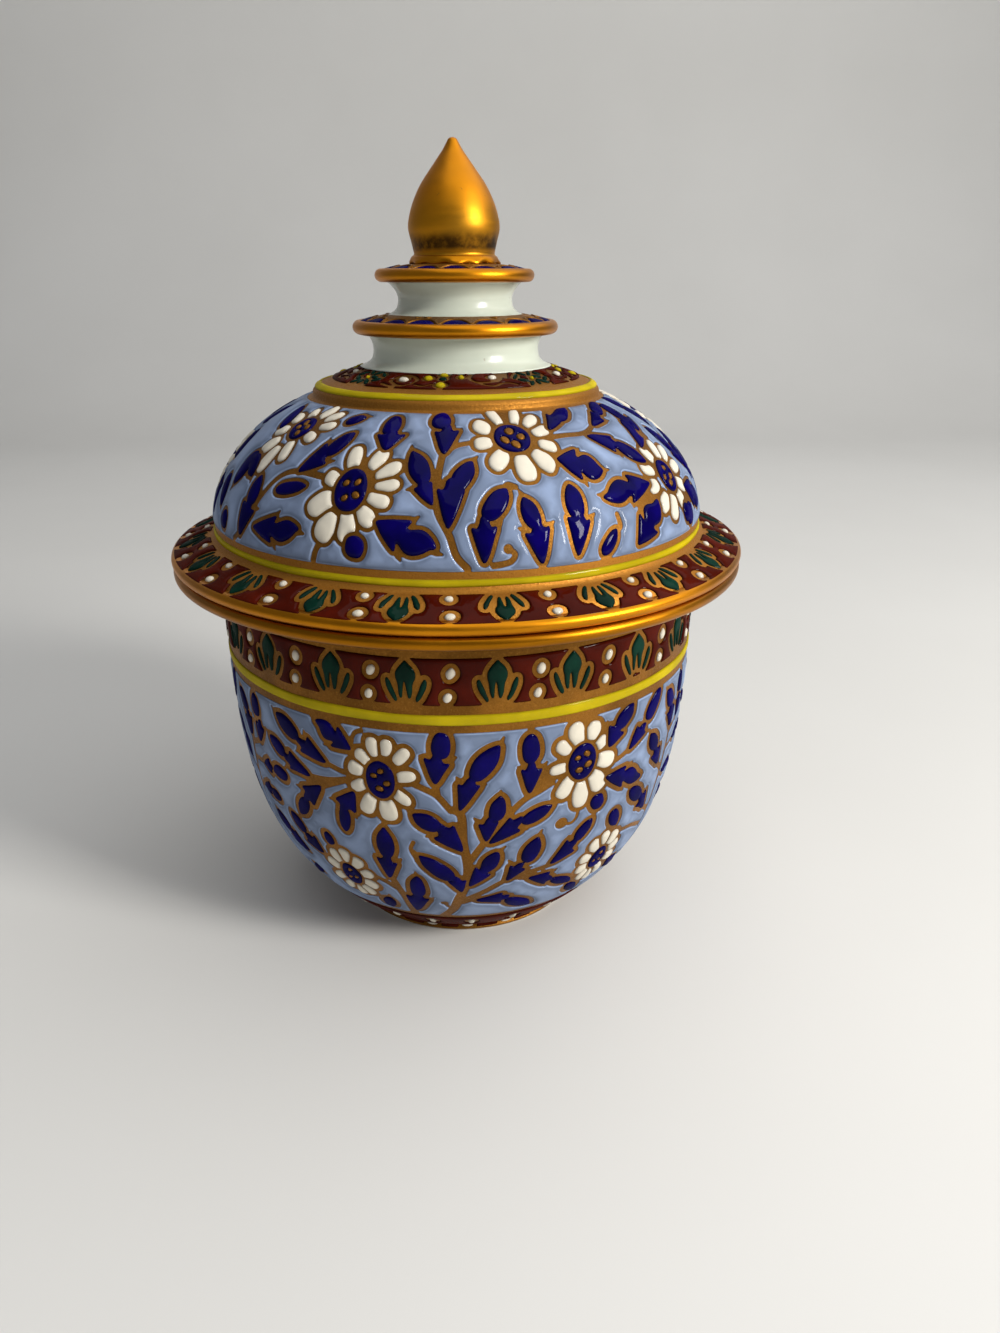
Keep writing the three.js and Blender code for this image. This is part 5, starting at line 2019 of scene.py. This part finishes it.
class LIDDED_JAR_OT_stage(bpy.types.Operator):
    """Sets the pale floor and backdrop, the soft lights and the camera"""

    bl_idname = "lidded_jar.stage"
    bl_label = "Stage"

    def execute(self, context):
        self.floor()
        self.world(context.scene)
        for lamp in LAMPS:
            self.lamp(*lamp)
        self.camera(context.scene)
        context.scene.view_settings.view_transform = "Standard"
        return {"FINISHED"}

    def floor(self):
        """A floor that bends up into a backdrop."""
        radius = BACKDROP_BEND
        turns = np.linspace(0, math.pi / 2, 13)
        curve = [(FLOOR_BACK + radius * math.sin(t), radius * (1 - math.cos(t))) for t in turns]
        outline = [(FLOOR_FRONT, 0.0), *curve, (FLOOR_BACK + radius, BACKDROP_HEIGHT)]
        points = [(x, y, z) for x in (-FLOOR_SIDE, FLOOR_SIDE) for y, z in outline]
        count = len(outline)
        faces = [(k, count + k, count + k + 1, k + 1) for k in range(count - 1)]
        mesh = bpy.data.meshes.new("backdrop")
        mesh.from_pydata(points, [], faces)
        mesh.shade_smooth()
        item = bpy.data.objects.new("backdrop", mesh)
        bpy.context.scene.collection.objects.link(item)
        paint = Paint("backdrop")
        base = paint.mix(paint.ramp(paint.noise(3.0, 4.0), 0.3, 0.7), *PALE)
        mesh.materials.append(paint.finish(Base_Color=base, Roughness=0.9))

    def world(self, scene):
        world = bpy.data.worlds.new("room")
        world.use_nodes = True
        sky = world.node_tree.nodes["Background"]
        sky.inputs["Color"].default_value = SKY_COLOUR
        sky.inputs["Strength"].default_value = SKY_STRENGTH
        scene.world = world

    def lamp(self, name, place, target, wide, tall, power, colour, mirrored):
        light = bpy.data.lights.new(name, "AREA")
        light.shape = "RECTANGLE"
        light.size, light.size_y = wide, tall
        light.energy, light.color = power, colour
        item = bpy.data.objects.new(name, light)
        item.location = place
        item.visible_glossy = mirrored
        item.rotation_euler = (Vector(target) - Vector(place)).to_track_quat("-Z", "Y").to_euler()
        bpy.context.scene.collection.objects.link(item)

    def camera(self, scene):
        data = bpy.data.cameras.new("camera")
        data.sensor_width = SENSOR_WIDTH
        data.lens = SENSOR_WIDTH * FOCUS / PHOTO_HEIGHT
        data.clip_start = 0.01
        item = bpy.data.objects.new("camera", data)
        item.location = CAMERA_PLACE
        item.rotation_euler = (math.radians(90 - CAMERA_DIP), 0, math.radians(CAMERA_TURN))
        scene.collection.objects.link(item)
        scene.camera = item


class LIDDED_JAR_PT_panel(bpy.types.Panel):
    """Lists the jar's pieces, sizes and colours"""

    bl_label = "Enamelled Lidded Jar"
    bl_idname = "LIDDED_JAR_PT_panel"
    bl_space_type = "VIEW_3D"
    bl_region_type = "UI"
    bl_category = "Lidded Jar"

    def draw(self, context):
        layout = self.layout
        for group in (context.scene.jar_sizes, context.scene.jar_colours):
            box = layout.box()
            for key in group.__annotations__:
                box.prop(group, key)
        for operator in OPERATORS:
            layout.operator(operator.bl_idname)


OPERATORS = (
    LIDDED_JAR_OT_clay,
    LIDDED_JAR_OT_gilding,
    LIDDED_JAR_OT_jar_vine,
    LIDDED_JAR_OT_dome_vine,
    LIDDED_JAR_OT_shoulder_border,
    LIDDED_JAR_OT_brim_border,
    LIDDED_JAR_OT_foot_border,
    LIDDED_JAR_OT_crown_border,
    LIDDED_JAR_OT_yellow_lines,
    LIDDED_JAR_OT_finial,
    LIDDED_JAR_OT_stage,
)
CLASSES = (JarSizes, JarColours, *OPERATORS, LIDDED_JAR_PT_panel)


def register():
    for item in CLASSES:
        bpy.utils.register_class(item)
    bpy.types.Scene.jar_sizes = bpy.props.PointerProperty(type=JarSizes)
    bpy.types.Scene.jar_colours = bpy.props.PointerProperty(type=JarColours)


def unregister():
    del bpy.types.Scene.jar_colours
    del bpy.types.Scene.jar_sizes
    for item in reversed(CLASSES):
        bpy.utils.unregister_class(item)


def main():
    register()
    for operator in OPERATORS:
        getattr(bpy.ops.lidded_jar, operator.bl_idname.split(".")[1])()


if __name__ == "__main__":
    main()
